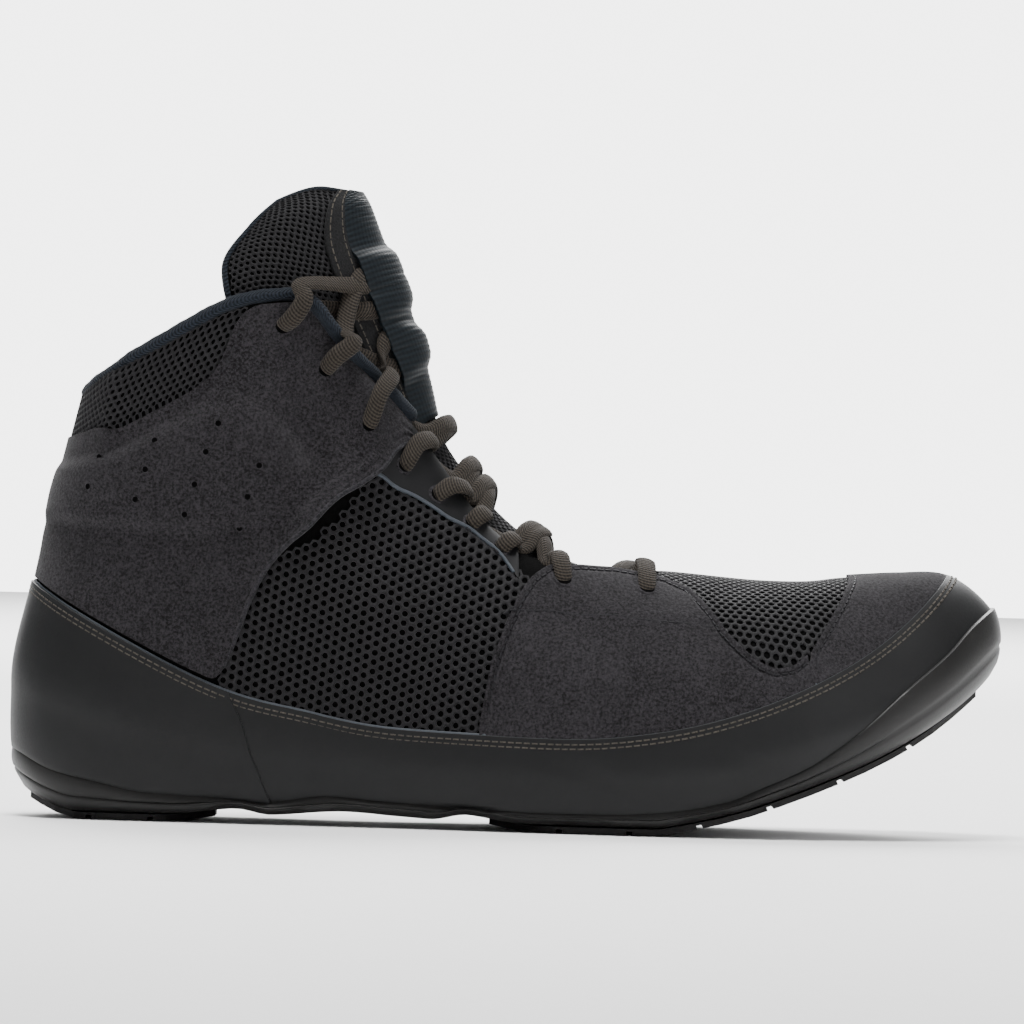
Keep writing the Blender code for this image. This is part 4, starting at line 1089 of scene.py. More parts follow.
def knit_group() -> bpy.types.NodeTree:
    """Close knit: small loops from crossed waves, broken by a fuzz."""
    tree, given, end = new_group("close_knit", COLOUR_IN, COLOUR_OUT)
    place, scale = given.outputs["Place"], given.outputs["Scale"]
    cells = put(tree, "ShaderNodeTexVoronoi", {"Vector": place, "Scale": scale, "Randomness": 0.35})
    fuzz = put(
        tree, "ShaderNodeTexNoise", {"Vector": place, "Scale": scaled(tree, scale, 2.3), "Detail": 3.0}
    )
    height = sum_of(tree, cells.outputs["Distance"], 0.8, fuzz.outputs[0], 0.2)
    finish_group(
        tree, given, end, sum_of(tree, cells.outputs["Distance"], 0.6, fuzz.outputs[0], 0.4), height
    )
    return tree


def rubber_group() -> bpy.types.NodeTree:
    """Moulded rubber: a fine matt grain, cloudy patches of dust and short scuffs."""
    tree, given, end = new_group("moulded_rubber", COLOUR_IN, COLOUR_OUT)
    place, scale = given.outputs["Place"], given.outputs["Scale"]
    fine = put(tree, "ShaderNodeTexNoise", {"Vector": place, "Scale": scale, "Detail": 2.0})
    cloud = put(
        tree, "ShaderNodeTexNoise", {"Vector": place, "Scale": scaled(tree, scale, 0.03), "Detail": 5.0}
    )
    flat = put(tree, "ShaderNodeMapping", {"Vector": place, "Scale": (0.12, 1.0, 1.0)})
    scuff = put(
        tree, "ShaderNodeTexNoise",
        {"Vector": flat.outputs[0], "Scale": scaled(tree, scale, 0.35), "Detail": 2.0},
    )
    marks = put(tree, "ShaderNodeMath", {0: scuff.outputs[0], 1: 0.64}, operation="GREATER_THAN").outputs[0]
    tone = sum_of(tree, cloud.outputs[0], 0.7, fine.outputs[0], 0.3)
    tone = put(tree, "ShaderNodeMath", {0: marks, 1: 0.12, 2: tone}, operation="MULTIPLY_ADD").outputs[0]
    finish_group(tree, given, end, tone, fine.outputs[0])
    return tree


class Groups:
    """The shader groups, each built once."""

    makers = {
        Grain.NAP: nap_group,
        Grain.HIDE: hide_group,
        Grain.RIB: rib_group,
        Grain.KNIT: knit_group,
        Grain.RUBBER: rubber_group,
    }

    def __init__(self) -> None:
        """Starts with no group built."""
        self.made = {}

    def get(self, grain: Grain) -> bpy.types.NodeTree:
        """The group for a grain, built at its first use."""
        if grain not in self.made:
            self.made[grain] = self.makers[grain]()
        return self.made[grain]


@dataclass(frozen=True)
class Finish:
    """How a surface looks: its grain and colours, and how it throws light back."""

    name: str
    grain: Grain
    dark: tuple[float, float, float]
    light: tuple[float, float, float]
    scale: float
    contrast: float = 1.6
    roughness: tuple[float, float] = (0.8, 0.95)
    bump: float = 0.3
    relief: float = 0.0002
    sheen: float = 0.0
    coat: float = 0.0
    specular: float = 0.5
    on_cloth: bool = False

    def build(self, groups: Groups) -> bpy.types.Material:
        """Makes the finish's material."""
        made = bpy.data.materials.new(self.name)
        made.use_nodes = True
        tree = made.node_tree
        shader = tree.nodes["Principled BSDF"]
        place = tree.nodes.new("ShaderNodeTexCoord").outputs["UV" if self.on_cloth else "Object"]
        grain = put(tree, "ShaderNodeGroup", node_tree=groups.get(self.grain))
        tree.links.new(place, grain.inputs["Place"])
        grain.inputs["Dark"].default_value = (*self.dark, 1.0)
        grain.inputs["Light"].default_value = (*self.light, 1.0)
        grain.inputs["Scale"].default_value = self.scale
        grain.inputs["Contrast"].default_value = self.contrast
        tree.links.new(grain.outputs["Color"], shader.inputs["Base Color"])
        rough = put(tree, "ShaderNodeMapRange", {"Value": grain.outputs["Height"]})
        rough.inputs["To Min"].default_value, rough.inputs["To Max"].default_value = self.roughness
        tree.links.new(rough.outputs[0], shader.inputs["Roughness"])
        bump = put(tree, "ShaderNodeBump", {"Height": grain.outputs["Height"]})
        bump.inputs["Strength"].default_value = self.bump
        bump.inputs["Distance"].default_value = self.relief
        tree.links.new(bump.outputs["Normal"], shader.inputs["Normal"])
        shader.inputs["Sheen Weight"].default_value = self.sheen
        shader.inputs["Sheen Roughness"].default_value = 0.6
        shader.inputs["Coat Weight"].default_value = self.coat
        shader.inputs["Coat Roughness"].default_value = 0.35
        shader.inputs["Specular IOR Level"].default_value = self.specular
        return made


FINISHES = (
    Finish(
        "suede", Grain.NAP, (0.0028, 0.0025, 0.003), (0.031, 0.0285, 0.032), 1300, 3.9, (0.88, 1.0),
        0.7, 0.0003, 0.05, specular=0.12,
    ),
    Finish(
        "suede_edge", Grain.NAP, (0.003, 0.003, 0.0035), (0.038, 0.036, 0.041), 1300, 3.0, (0.85, 1.0),
        0.7, 0.0003, 0.05, specular=0.15,
    ),
    Finish(
        "keeper_tape", Grain.NAP, (0.002, 0.002, 0.002), (0.014, 0.014, 0.015), 1700, 2.6, (0.85, 1.0),
        0.8, 0.0003, 0.05, specular=0.1,
    ),
    Finish(
        "band_film", Grain.HIDE, (0.004, 0.0041, 0.0045), (0.008, 0.0082, 0.0088), 1500, 1.5,
        (0.46, 0.58), 0.22, 0.0001, specular=0.26,
    ),
    Finish(
        "cut_edge", Grain.HIDE, (0.022, 0.027, 0.034), (0.055, 0.065, 0.078), 1800, 1.5, (0.5, 0.7),
        0.1, specular=0.3,
    ),
    Finish(
        "net_thread", Grain.KNIT, (0.004, 0.004, 0.0045), (0.022, 0.021, 0.023), 3200, 2.2, (0.6, 0.85),
        0.7, 0.0001, specular=0.2,
    ),
    Finish(
        "under_cloth", Grain.KNIT, (0.0015, 0.0015, 0.0015), (0.004, 0.004, 0.004), 1700, 1.5,
        (0.9, 1.0), 0.4, specular=0.05,
    ),
    Finish(
        "lining", Grain.KNIT, (0.007, 0.007, 0.008), (0.018, 0.018, 0.020), 1300, 1.8, (0.88, 1.0), 0.5,
        0.0002, 0.03, specular=0.1,
    ),
    Finish(
        "foam", Grain.KNIT, (0.010, 0.010, 0.011), (0.026, 0.026, 0.028), 900, 1.6, (0.9, 1.0), 0.4,
        0.0003, 0.03, specular=0.1,
    ),
    Finish(
        "binding_knit", Grain.RIB, (0.003, 0.0045, 0.007), (0.016, 0.021, 0.030), 900, 2.2, (0.8, 0.95),
        0.9, 0.0003, 0.04, specular=0.15, on_cloth=True,
    ),
    Finish(
        "ribbon_weave", Grain.RIB, (0.002, 0.0035, 0.005), (0.007, 0.011, 0.0145), 620, 2.2, (0.5, 0.7),
        0.7, 0.0002, specular=0.18, on_cloth=True,
    ),
    Finish(
        "lace_weave", Grain.RIB, (0.006, 0.005, 0.004), (0.048, 0.039, 0.031), 1000, 2.2, (0.75, 0.95),
        0.9, 0.0003, 0.04, specular=0.14, on_cloth=True,
    ),
    Finish(
        "stitch_thread", Grain.NAP, (0.016, 0.014, 0.011), (0.088, 0.076, 0.062), 1500, 2.4, (0.6, 0.8),
        0.4, 0.0001, specular=0.3,
    ),
    Finish(
        "dark_thread", Grain.NAP, (0.003, 0.003, 0.004), (0.016, 0.015, 0.018), 1800, 2.0, (0.6, 0.8),
        0.4, 0.0001, specular=0.25,
    ),
    # Painted shade: the near-black colour of the holes' flat pits, which stands for the shaded inside of
    # each hole
    Finish(
        "painted_hole_shade", Grain.KNIT, (0.0008, 0.0008, 0.0008), (0.002, 0.002, 0.002), 1700, 1.5, (0.9, 1.0),
        0.2, specular=0.03,
    ),
    Finish(
        "stay_film", Grain.HIDE, (0.003, 0.003, 0.0035), (0.008, 0.008, 0.009), 1700, 1.5, (0.45, 0.6),
        0.15, 0.0001, specular=0.2,
    ),
    Finish(
        "sole_rubber", Grain.RUBBER, (0.0035, 0.0032, 0.0032), (0.010, 0.0095, 0.009), 1900, 1.7,
        (0.38, 0.58), 0.25, 0.00012, 0.0, 0.05, specular=0.3,
    ),
    Finish(
        "tread_rubber", Grain.RUBBER, (0.004, 0.004, 0.004), (0.012, 0.011, 0.011), 1500, 1.7,
        (0.6, 0.8), 0.4, 0.0002, specular=0.3,
    ),
)


@dataclass
class Looks:
    """The materials of all the finishes, by name."""

    made: dict = field(default_factory=dict)

    def build(self) -> None:
        """Makes every finish's material."""
        groups = Groups()
        for finish in FINISHES:
            self.made[finish.name] = finish.build(groups)

    def __getitem__(self, name: str) -> bpy.types.Material:
        """The material of one finish."""
        return self.made[name]


class Side(Enum):
    """The two sides of the foot, with the sign of their stations."""

    OUTER = 1
    INNER = -1

    def stations(self, stations: np.ndarray) -> np.ndarray:
        """The stations of this side that face the outer side's stations given."""
        return np.asarray(stations, dtype=float) * self.value


@dataclass
class Bootie:
    """The cloth shell under every net and panel, one wall all round."""

    columns: int = 34 * 5
    rows: int = 52
    sunk: float = 0.00005

    def build(self, looks: Looks) -> None:
        """Builds the shell, open at the collar, throat and underneath."""
        stations = np.linspace(0.0, float(LAST.turn), self.columns + 1)
        levels = np.linspace(0.0, TOP_LEVEL, self.rows)
        station, level = (grid.ravel() for grid in np.meshgrid(stations, levels, indexing="ij"))
        points = skin(
            station, level, np.full(len(station), -self.sunk)
        ).reshape(len(stations), self.rows, 3)
        piece = cloth_grid("bootie", points)
        weld_seam(piece)
        give_wall(piece, UPPER_WALL - self.sunk, bevel=0.0)
        finish_piece(piece, looks["under_cloth"], ["upper"])


@dataclass
class NetCell:
    """One cell of a net, a modelled six-sided frame whose rounded hole sinks to the cloth."""

    pitch: float = 0.0027
    tall: float = 1.0
    strand: float = 0.00056
    height: float = 0.00072
    crown: float = 0.00022
    turn_deg: float = 0.0

    def pattern(self) -> Pattern:
        """The cell, its outer rim at Z 0 and its hole going down."""
        deselect()
        bpy.ops.mesh.primitive_circle_add(vertices=6, radius=self.pitch / math.sqrt(3), fill_type="NGON")
        piece = bpy.context.object
        in_edit_mode(
            piece,
            lambda: bpy.ops.mesh.subdivide(number_cuts=1),
            lambda: bpy.ops.mesh.inset(thickness=self.strand * 0.5),
            lambda: bpy.ops.transform.translate(value=(0.0, 0.0, -self.crown * 0.25)),
            lambda: bpy.ops.mesh.inset(thickness=self.strand * 0.5),
            lambda: bpy.ops.transform.translate(value=(0.0, 0.0, -self.crown)),
            lambda: bpy.ops.mesh.extrude_region_move(
                TRANSFORM_OT_translate={"value": (0.0, 0.0, -self.height)}
            ),
            lambda: bpy.ops.mesh.delete(type="ONLY_FACE"),
        )
        pattern = take_pattern(piece)
        points = pattern.points.copy()
        hole = points[:, 2] < -self.crown
        radius = np.linalg.norm(points[:, :2], axis=1)
        if hole.any():
            even = radius[hole].mean()
            points[hole, :2] *= (0.35 + 0.65 * even / radius[hole])[:, None]
        points[:, 1] *= self.tall
        points[:, :2] = points[:, :2] @ self.turned()
        return Pattern(points, pattern.faces)

    def turned(self) -> np.ndarray:
        """What turns the cell's flat points by its angle, as rows times this."""
        turn = math.radians(self.turn_deg)
        return np.array([[math.cos(turn), math.sin(turn)], [-math.sin(turn), math.cos(turn)]])

    def lattice(self, low: np.ndarray, high: np.ndarray) -> np.ndarray:
        """Centres of the cells between two corners of flat cloth."""
        row_gap = self.pitch * math.sqrt(3) / 2 * self.tall
        middle, reach = (low + high) / 2, float(np.linalg.norm(high - low)) / 2
        rows = np.arange(-int(reach / row_gap) - 1, int(reach / row_gap) + 2)
        columns = np.arange(-int(reach / self.pitch) - 1, int(reach / self.pitch) + 2)
        row, column = (grid.ravel() for grid in np.meshgrid(rows, columns, indexing="ij"))
        flat = np.stack(
            [(column + (row % 2) * 0.5) * self.pitch, row * row_gap], axis=1
        ) @ self.turned() + middle
        return flat[((flat > low) & (flat < high)).all(axis=1)]

    def spread(self, centres: np.ndarray) -> Pattern:
        """Copies the cell to each centre and joins the rims that meet."""
        pattern = self.pattern()
        count = len(pattern.points)
        moved = pattern.points[None] + np.concatenate(
            [centres, np.zeros((len(centres), 1))], axis=1
        )[:, None]
        flat = moved.reshape(-1, 3)
        _, first, index = np.unique(
            np.round(flat / 5e-6).astype(np.int64), axis=0, return_index=True, return_inverse=True
        )
        index = index.reshape(-1)
        faces = [
            tuple(index[corner + number * count] for corner in face)
            for number in range(len(centres))
            for face in pattern.faces
        ]
        return Pattern(flat[first], faces)


@dataclass
class ProjectedNet:
    """A net laid on the last as seen from one side, so that its holes stay even in that view."""

    name: str
    cell: NetCell
    axes: tuple[int, int]
    stations: tuple[float, float]
    covers: Callable[[np.ndarray, np.ndarray], np.ndarray]

    def build(self, looks: Looks) -> None:
        """Builds the net where covers says that it shows."""
        seeds = np.meshgrid(
            np.linspace(*self.stations, 60), np.linspace(RAND_LEVEL, TOP_LEVEL, 40), indexing="ij"
        )
        station, level = (grid.ravel() for grid in seeds)
        kept = self.covers(station, level)
        window = LAST.point(station[kept], level[kept])[:, self.axes]
        centres = self.cell.lattice(
            window.min(axis=0) - self.cell.pitch, window.max(axis=0) + self.cell.pitch
        )
        found = LAST.find(centres, self.axes, self.stations)
        shown = (found[:, 2] < 0.0006) & self.covers(found[:, 0], found[:, 1])
        flat = self.cell.spread(centres[shown])
        place = LAST.find(flat.points[:, :2], self.axes, self.stations)
        rise = self.cell.height + self.cell.crown + flat.points[:, 2]
        points = skin(place[:, 0], place[:, 1], np.maximum(rise, 0.00002))
        faces = flat.faces
        if self.turned():
            faces = [face[::-1] for face in faces]
        piece = mesh_piece(self.name, points, faces)
        finish_piece(piece, looks["net_thread"])

    def turned(self) -> bool:
        """Whether the view looks at the last from behind its flat axes, which turns the faces over."""
        probe = np.array([sum(self.stations) / 2]), np.array([3.0])
        across = np.cross(*np.eye(3)[list(self.axes)])
        return float(LAST.normal(*probe)[0] @ across) < 0


@dataclass
class WrappedNet:
    """A net wound round a surface by its own two numbers, keeping its size along both."""

    name: str
    cell: NetCell
    surface: Callable[[np.ndarray, np.ndarray, np.ndarray], np.ndarray]
    across: tuple[float, float]
    up: tuple[float, float]
    shows: Callable[[np.ndarray, np.ndarray], np.ndarray]
    slot: str = "cloth"

    def build(self, looks: Looks) -> None:
        """Builds the net where shows says that it is seen."""
        across = np.linspace(*self.across, 260)
        up = np.linspace(*self.up, 90)
        first, second = (grid.ravel() for grid in np.meshgrid(across, up, indexing="ij"))
        grid = self.surface(first, second, np.zeros(len(first))).reshape(len(across), len(up), 3)
        middle = len(across) // 2
        run = arcs(grid, 0)
        run -= run[middle]
        rise = arcs(grid, 1)[middle]
        steps = np.linspace(run.min(), run.max(), 400)
        back = np.stack([np.interp(steps, run[:, row], across) for row in range(len(up))], axis=1)
        centres = self.cell.lattice(np.array([run.min(), 0.0]), np.array([run.max(), rise[-1]]))

        def to_surface(flat: np.ndarray) -> tuple[np.ndarray, np.ndarray]:
            """Turns places on flat cloth into the surface's two numbers."""
            row = np.interp(flat[:, 1], rise, np.arange(len(up)))
            low = np.clip(row.astype(int), 0, len(up) - 2)
            part = row - low
            column = np.clip((flat[:, 0] - steps[0]) / (steps[1] - steps[0]), 0, len(steps) - 1.001)
            left = column.astype(int)
            share = column - left
            near = back[left, low] * (1 - share) + back[left + 1, low] * share
            far = back[left, low + 1] * (1 - share) + back[left + 1, low + 1] * share
            return near * (1 - part) + far * part, np.interp(flat[:, 1], rise, up)

        first, second = to_surface(centres)
        margin = 0.002 * (self.across[1] - self.across[0])
        inside = (first > self.across[0] + margin) & (first < self.across[1] - margin)
        inside &= (
            centres[:, 1] < rise[-1] - self.cell.pitch * 0.3
        ) & (centres[:, 1] > self.cell.pitch * 0.3)
        centres = centres[inside & self.shows(first, second)]
        flat = self.cell.spread(centres)
        first, second = to_surface(flat.points)
        height = np.maximum(self.cell.height + self.cell.crown + flat.points[:, 2], 0.00002)
        piece = mesh_piece(self.name, self.surface(first, second, height), flat.faces)
        finish_piece(piece, looks["net_thread"])


def above(table: Sequence[Edge], station: np.ndarray, level: np.ndarray, margin: float = 0.0) -> np.ndarray:
    """Whether places lie over a panel's edge by a margin in levels."""
    return level > edge_level(table, station) + margin


def quarter_shows(station: np.ndarray, level: np.ndarray) -> np.ndarray:
    """Where the net between the ankle wrap, the eyestay and the forefoot panel shows."""
    folded = folded_station(station)
    low = level > RAND_LEVEL - 0.02
    front = folded < np.interp(level, *FOREFOOT_SEAM) + 0.12
    shade = 0.13 * smooth(3.5, 4.3, folded) * smooth(6.5, 5.3, folded)
    behind = level < np.interp(folded, *np.array(WRAP_LOW).T) + 0.05 - shade
    back = folded > np.interp(level, (2.0, 2.12, 2.22, 2.45, 2.57), (2.90, 2.96, 3.00, 3.16, 3.26))
    under_stay = np.where(folded > STAY_LOW[0].station, level < edge_level(STAY_LOW, station) + 0.06, True)
    return low & front & behind & back & under_stay


def toe_shows(station: np.ndarray, level: np.ndarray) -> np.ndarray:
    """Where the net over the toe shows, between the forefoot panels and the cap."""
    folded = folded_station(station)
    over_side = np.where(
        folded <= SIDE_HIGH[-1].station, level > edge_level(SIDE_HIGH, station) - 0.05, True
    )
    behind_cap = np.where(folded >= CAP_HIGH[0].station, level > edge_level(CAP_HIGH, station) - 0.05, True)
    return (folded > 11.4) & over_side & behind_cap & (level > RAND_LEVEL)


def collar_shows(station: np.ndarray, level: np.ndarray) -> np.ndarray:
    """Where the net under the collar's roll shows."""
    return above(WRAP_HIGH, station, level, -0.04)


# Rear edge of the forefoot panel as levels and stations
FOREFOOT_SEAM = ((2.00, 2.20, 2.58, 2.98, 3.35, 3.62), (8.13, 8.17, 8.26, 8.50, 8.75, 9.00))
# Lower edge of the smooth eyestay, from under the ankle wrap to the forefoot panel
STAY_LOW = (
    Edge(6.10, 3.42), Edge(6.35, 3.42), Edge(6.45, 3.40), Edge(6.65, 3.40), Edge(7.15, 3.48),
    Edge(7.55, 3.55),
    Edge(7.95, 3.69), Edge(8.40, 3.74), Edge(8.60, 3.65), Edge(8.80, 3.50),
)
# Stitched edge of the forefoot panel's upper layer
LAYER_LOW = (
    Edge(8.40, 2.93), Edge(8.60, 3.12), Edge(9.30, 3.25), Edge(10.40, 3.28), Edge(11.70, 3.12),
    Edge(12.56, 3.00),
)
# Pinholes of the raised pad, in rows
PINHOLES = (
    Edge(1.24, 3.27), Edge(2.02, 3.39), Edge(2.86, 3.45), Edge(1.21, 3.03), Edge(1.95, 3.21),
    Edge(2.71, 3.31),
    Edge(1.87, 3.01), Edge(2.59, 3.14), Edge(3.48, 3.25), Edge(2.49, 2.97), Edge(3.31, 3.10),
    Edge(3.19, 2.94),
)


@dataclass
class Panel:
    """A panel of hide or film on the upper, between a lower and an upper edge."""

    name: str
    first: float
    last: float
    low: Callable[[np.ndarray], np.ndarray]
    high: Callable[[np.ndarray], np.ndarray]
    rise: Callable[[np.ndarray, np.ndarray], np.ndarray]
    columns: int = 160
    rows: int = 44
    wall: float = PANEL_WALL
    bevel: float = 0.00035

    def build(self, look: bpy.types.Material, slot: str, nodes: Sequence[str]) -> None:
        """Builds the panel on the folded cloth, its outside at the rise that its places have."""
        stations = np.linspace(self.first, self.last, self.columns)
        low, high = self.low(stations)[:, None], self.high(stations)[:, None]
        levels = np.clip(low + (high - low) * spread_rows(self.rows), 0, TOP_LEVEL)
        station = np.repeat(stations, self.rows)
        level = levels.ravel()
        points = skin(station, level, self.rise(station, level)).reshape(self.columns, self.rows, 3)
        piece = cloth_grid(self.name, points)
        give_wall(piece, self.wall, bevel=self.bevel)
        finish_piece(piece, look, nodes)


def wrap_rise(station: np.ndarray, level: np.ndarray) -> np.ndarray:
    """Outside of the ankle wrap: its raised pad, and its front edge that is sewn and stands off the net."""
    folded = folded_station(station)
    foot, head = edge_level(PAD_LOW, station, 0.2), edge_level(PAD_HIGH, station, 0.2)
    inward = np.minimum(level - foot, head - level)
    pad = PAD_RISE * smooth(-0.03, PAD_BEVEL, inward) * smooth(4.95, 4.2, folded) * (
        0.3 + 0.7 * smooth(0.0, 1.2, folded)
    )
    share = np.clip((level - foot) / np.maximum(head - foot, 0.05), 0, 1)
    crown = 0.0006 * np.sin(share * np.pi) * smooth(4.6, 3.2, folded)
    gap = edge_gap(WRAP_LOW, station, level)
    front = smooth(3.1, 3.5, folded)
    hem = 0.0005 * smooth(0.0046, 0.0030, gap) * front
    lifted = 0.0026 * smooth(0.011, 0.0, gap) * smooth(3.6, 4.5, folded) * smooth(6.7, 5.8, folded)
    groove = 0.8 * stitch_groove(gap, 0.0046) * front + stitch_groove(gap, 0.0022) * front
    return PANEL_SEAT + PANEL_WALL + pad + crown + hem + lifted + groove


def forefoot_rise(station: np.ndarray, level: np.ndarray) -> np.ndarray:
    """Outside of the forefoot panel, with a second layer over its stitched line and sewn edges."""
    step = edge_gap(LAYER_LOW, station, level)
    sewn = stitch_groove(-edge_gap(SIDE_HIGH, station, level, 0.05)) + stitch_groove(step, 0.0016)
    return PANEL_SEAT + PANEL_WALL + 0.0004 * smooth(-0.0002, 0.0004, step) + sewn


def cap_rise(station: np.ndarray, level: np.ndarray) -> np.ndarray:
    """Outside of the toe cap, with its sewn edge."""
    return PANEL_SEAT + PANEL_WALL + stitch_groove(-edge_gap(CAP_HIGH, station, level, 0.06))


@dataclass
class Band:
    """The smooth band round the whole foot, with a heel piece that laps over its back."""

    columns: int = 34 * 9
    rows: int = 26
    lap: float = 0.0005
    seam: tuple[Edge, ...] = (
        Edge(3.70, 0.15), Edge(3.50, 0.70), Edge(3.36, 1.12), Edge(3.25, 1.55), Edge(3.05, 2.02)
    )

    def levels(self, stations: np.ndarray) -> np.ndarray:
        """Rows of the band from the sole's rim to its cut edge."""
        low = LAST.level_at_height(stations, lambda x: rim_height(x) - 0.0004)[:, None]
        return low + (RAND_EDGE - low) * spread_rows(self.rows)

    def build(self, looks: Looks, seams: Seams) -> None:
        """Builds the band, its heel piece, its pale cut edge and its two rows of stitches."""
        stations = np.linspace(0.0, float(LAST.turn), self.columns + 1)
        levels = self.levels(stations)
        station, level = np.repeat(stations, self.rows), levels.ravel()
        rise = np.full(len(station), PANEL_SEAT + RAND_WALL)
        piece = cloth_grid("foot_band", skin(station, level, rise).reshape(len(stations), self.rows, 3))
        weld_seam(piece)
        give_wall(piece, RAND_WALL, bevel=0.0004)
        finish_piece(piece, looks["band_film"], ["rand"])
        self.heel_piece(looks)
        self.sew(seams, stations)
        top = np.full(len(stations), RAND_EDGE)
        line = skin(stations, top + 0.004, np.full(len(stations), PANEL_SEAT + RAND_WALL * 0.45))
        out = LAST.normal(stations, top)
        size = np.full(len(stations), 0.0005)
        edge = cloth_grid("band_cut_edge", tube_grid(line, out, size, size, 8))
        weld_seam(edge)
        finish_piece(edge, looks["cut_edge"])

    def heel_piece(self, looks: Looks) -> None:
        """Builds the piece that laps round the heel, its front edges slanting to the sole."""
        rise = np.linspace(0.0, 1.0, 30)
        across = np.linspace(-1.0, 1.0, 120)
        level_at, station_at = np.array(self.seam)[:, 1], np.array(self.seam)[:, 0]
        columns = []
        for share in across:
            level = 0.2 + (RAND_EDGE - 0.2) * rise
            for _ in range(3):
                station = share * np.interp(level, level_at, station_at)
                low = LAST.level_at_height(station, lambda x: rim_height(x) - 0.0004)
                level = low + (RAND_EDGE - low) * rise
            out = np.full(len(level), PANEL_SEAT + RAND_WALL + self.lap)
            columns.append(skin(station, level, out))
        piece = cloth_grid("heel_band", np.stack(columns))
        give_wall(piece, self.lap + 0.0002, bevel=0.00025)
        finish_piece(piece, looks["band_film"])

    def sew(self, seams: Seams, stations: np.ndarray) -> None:
        """Sews the two rows under the cut edge."""
        top = np.full(len(stations), RAND_EDGE)
        lap = self.lap * smooth(3.2, 3.05, folded_station(stations))
        line = skin(stations, top, PANEL_SEAT + RAND_WALL + lap + 0.00014)
        out = LAST.normal(stations, top)
        for offset in (-0.0016, -0.0029):
            seams.sew(line, out, offset)


@dataclass
class AnkleWrap:
    """The suede heel and ankle panel with its raised pad, pinholes and turned edge."""

    last_station: float = 6.98

    def build(self, looks: Looks, seams: Seams, holes: "PunchedHoles") -> None:
        """Builds the wrap and adds its seams and pinholes."""
        Panel(
            "ankle_suede",
            -self.last_station,
            self.last_station,
            lambda station: edge_level(WRAP_LOW, station),
            lambda station: edge_level(WRAP_HIGH, station),
            wrap_rise,
            columns=300,
            rows=68,
        ).build(looks["suede"], "suede", ["ankle_wrap"])
        for side in Side:
            station = side.stations(np.linspace(3.12, 6.80, 160))
            level = inset_level(WRAP_LOW, station, 0.0022)
            line = skin(station, level, wrap_rise(station, level) + 0.0001)
            seams.sew(line, LAST.normal(station, level))
            self.cut_edge(looks, side)
            station = side.stations(np.linspace(0.05, 3.05, 100))
            level = edge_level(WRAP_HIGH, station)
            seams.sew(
                skin(station, level, wrap_rise(station, level)), LAST.normal(station, level),
                -0.0019 * side.value,
            )
            for hole in PINHOLES:
                place = side.stations(np.array([hole.station])), np.array([hole.level])
                holes.add(skin(*place, wrap_rise(*place)), LAST.normal(*place), 0.00082)

    def cut_edge(self, looks: Looks, side: Side) -> None:
        """Builds the thick cut edge of the wrap's front, which stands off the net and catches the light."""
        station = side.stations(np.linspace(3.0, 6.92, 200))
        level = edge_level(WRAP_LOW, station)
        line = skin(station, level + 0.004, wrap_rise(station, level) - 0.0005)
        size = 0.00062 * smooth(2.9, 3.2, np.abs(station)) + 0.00012
        grid = tube_grid(line, LAST.normal(station, level), size, size * 1.15, 10)
        piece = cloth_grid(f"ankle_suede_edge_{side.name.lower()}", grid)
        close_tube(piece)
        finish_piece(piece, looks["suede_edge"])


@dataclass
class PunchedHoles:
    """Pinholes of the pad and lace holes, each a soft lip round a pit of painted shade: a flat near-black
    disc that stands for the hole's shaded inside.
    """

    rims: list = field(default_factory=list)
    faces: list = field(default_factory=list)
    count: int = 0

    def pattern(self, radius: float) -> Pattern:
        """One hole: a low lip, and a flat pit drawn near-black as painted shade of the hole's inside."""
        deselect()
        bpy.ops.mesh.primitive_circle_add(vertices=16, radius=radius * 1.4, fill_type="NGON")
        piece = bpy.context.object
        in_edit_mode(
            piece,
            lambda: bpy.ops.mesh.inset(thickness=radius * 0.22),
            lambda: bpy.ops.transform.translate(value=(0.0, 0.0, 0.00018)),
            lambda: bpy.ops.mesh.inset(thickness=radius * 0.18),
            lambda: bpy.ops.transform.translate(value=(0.0, 0.0, -0.00006)),
        )
        return take_pattern(piece)

    def add(self, place: np.ndarray, out: np.ndarray, radius: float) -> None:
        """Adds a hole at a place on the last.

        Args:
            place: its centre, shaped (1, 3).
            out: direction that it faces, shaped (1, 3).
            radius: half its width.
        """
        along = np.array([[1.0, 0.0, 0.0]])
        points, faces = copy_along(self.pattern(radius), place + out * 0.00003, along, out)
        self.faces += [tuple(corner + self.count for corner in face) for face in faces]
        self.rims.append(points)
        self.count += len(points)

    def build(self, looks: Looks) -> None:
        """Makes one object of all the holes, their pits painted near-black as the holes' shade."""
        piece = mesh_piece("punched_holes", np.concatenate(self.rims), self.faces)
        finish_piece(piece, looks["suede"])
        # The n-gon pits get the near-black finish: painted shade standing for the inside of each hole
        piece.data.materials.append(looks["painted_hole_shade"])
        piece.data.polygons.foreach_set("material_index", [int(len(face) > 4) for face in self.faces])


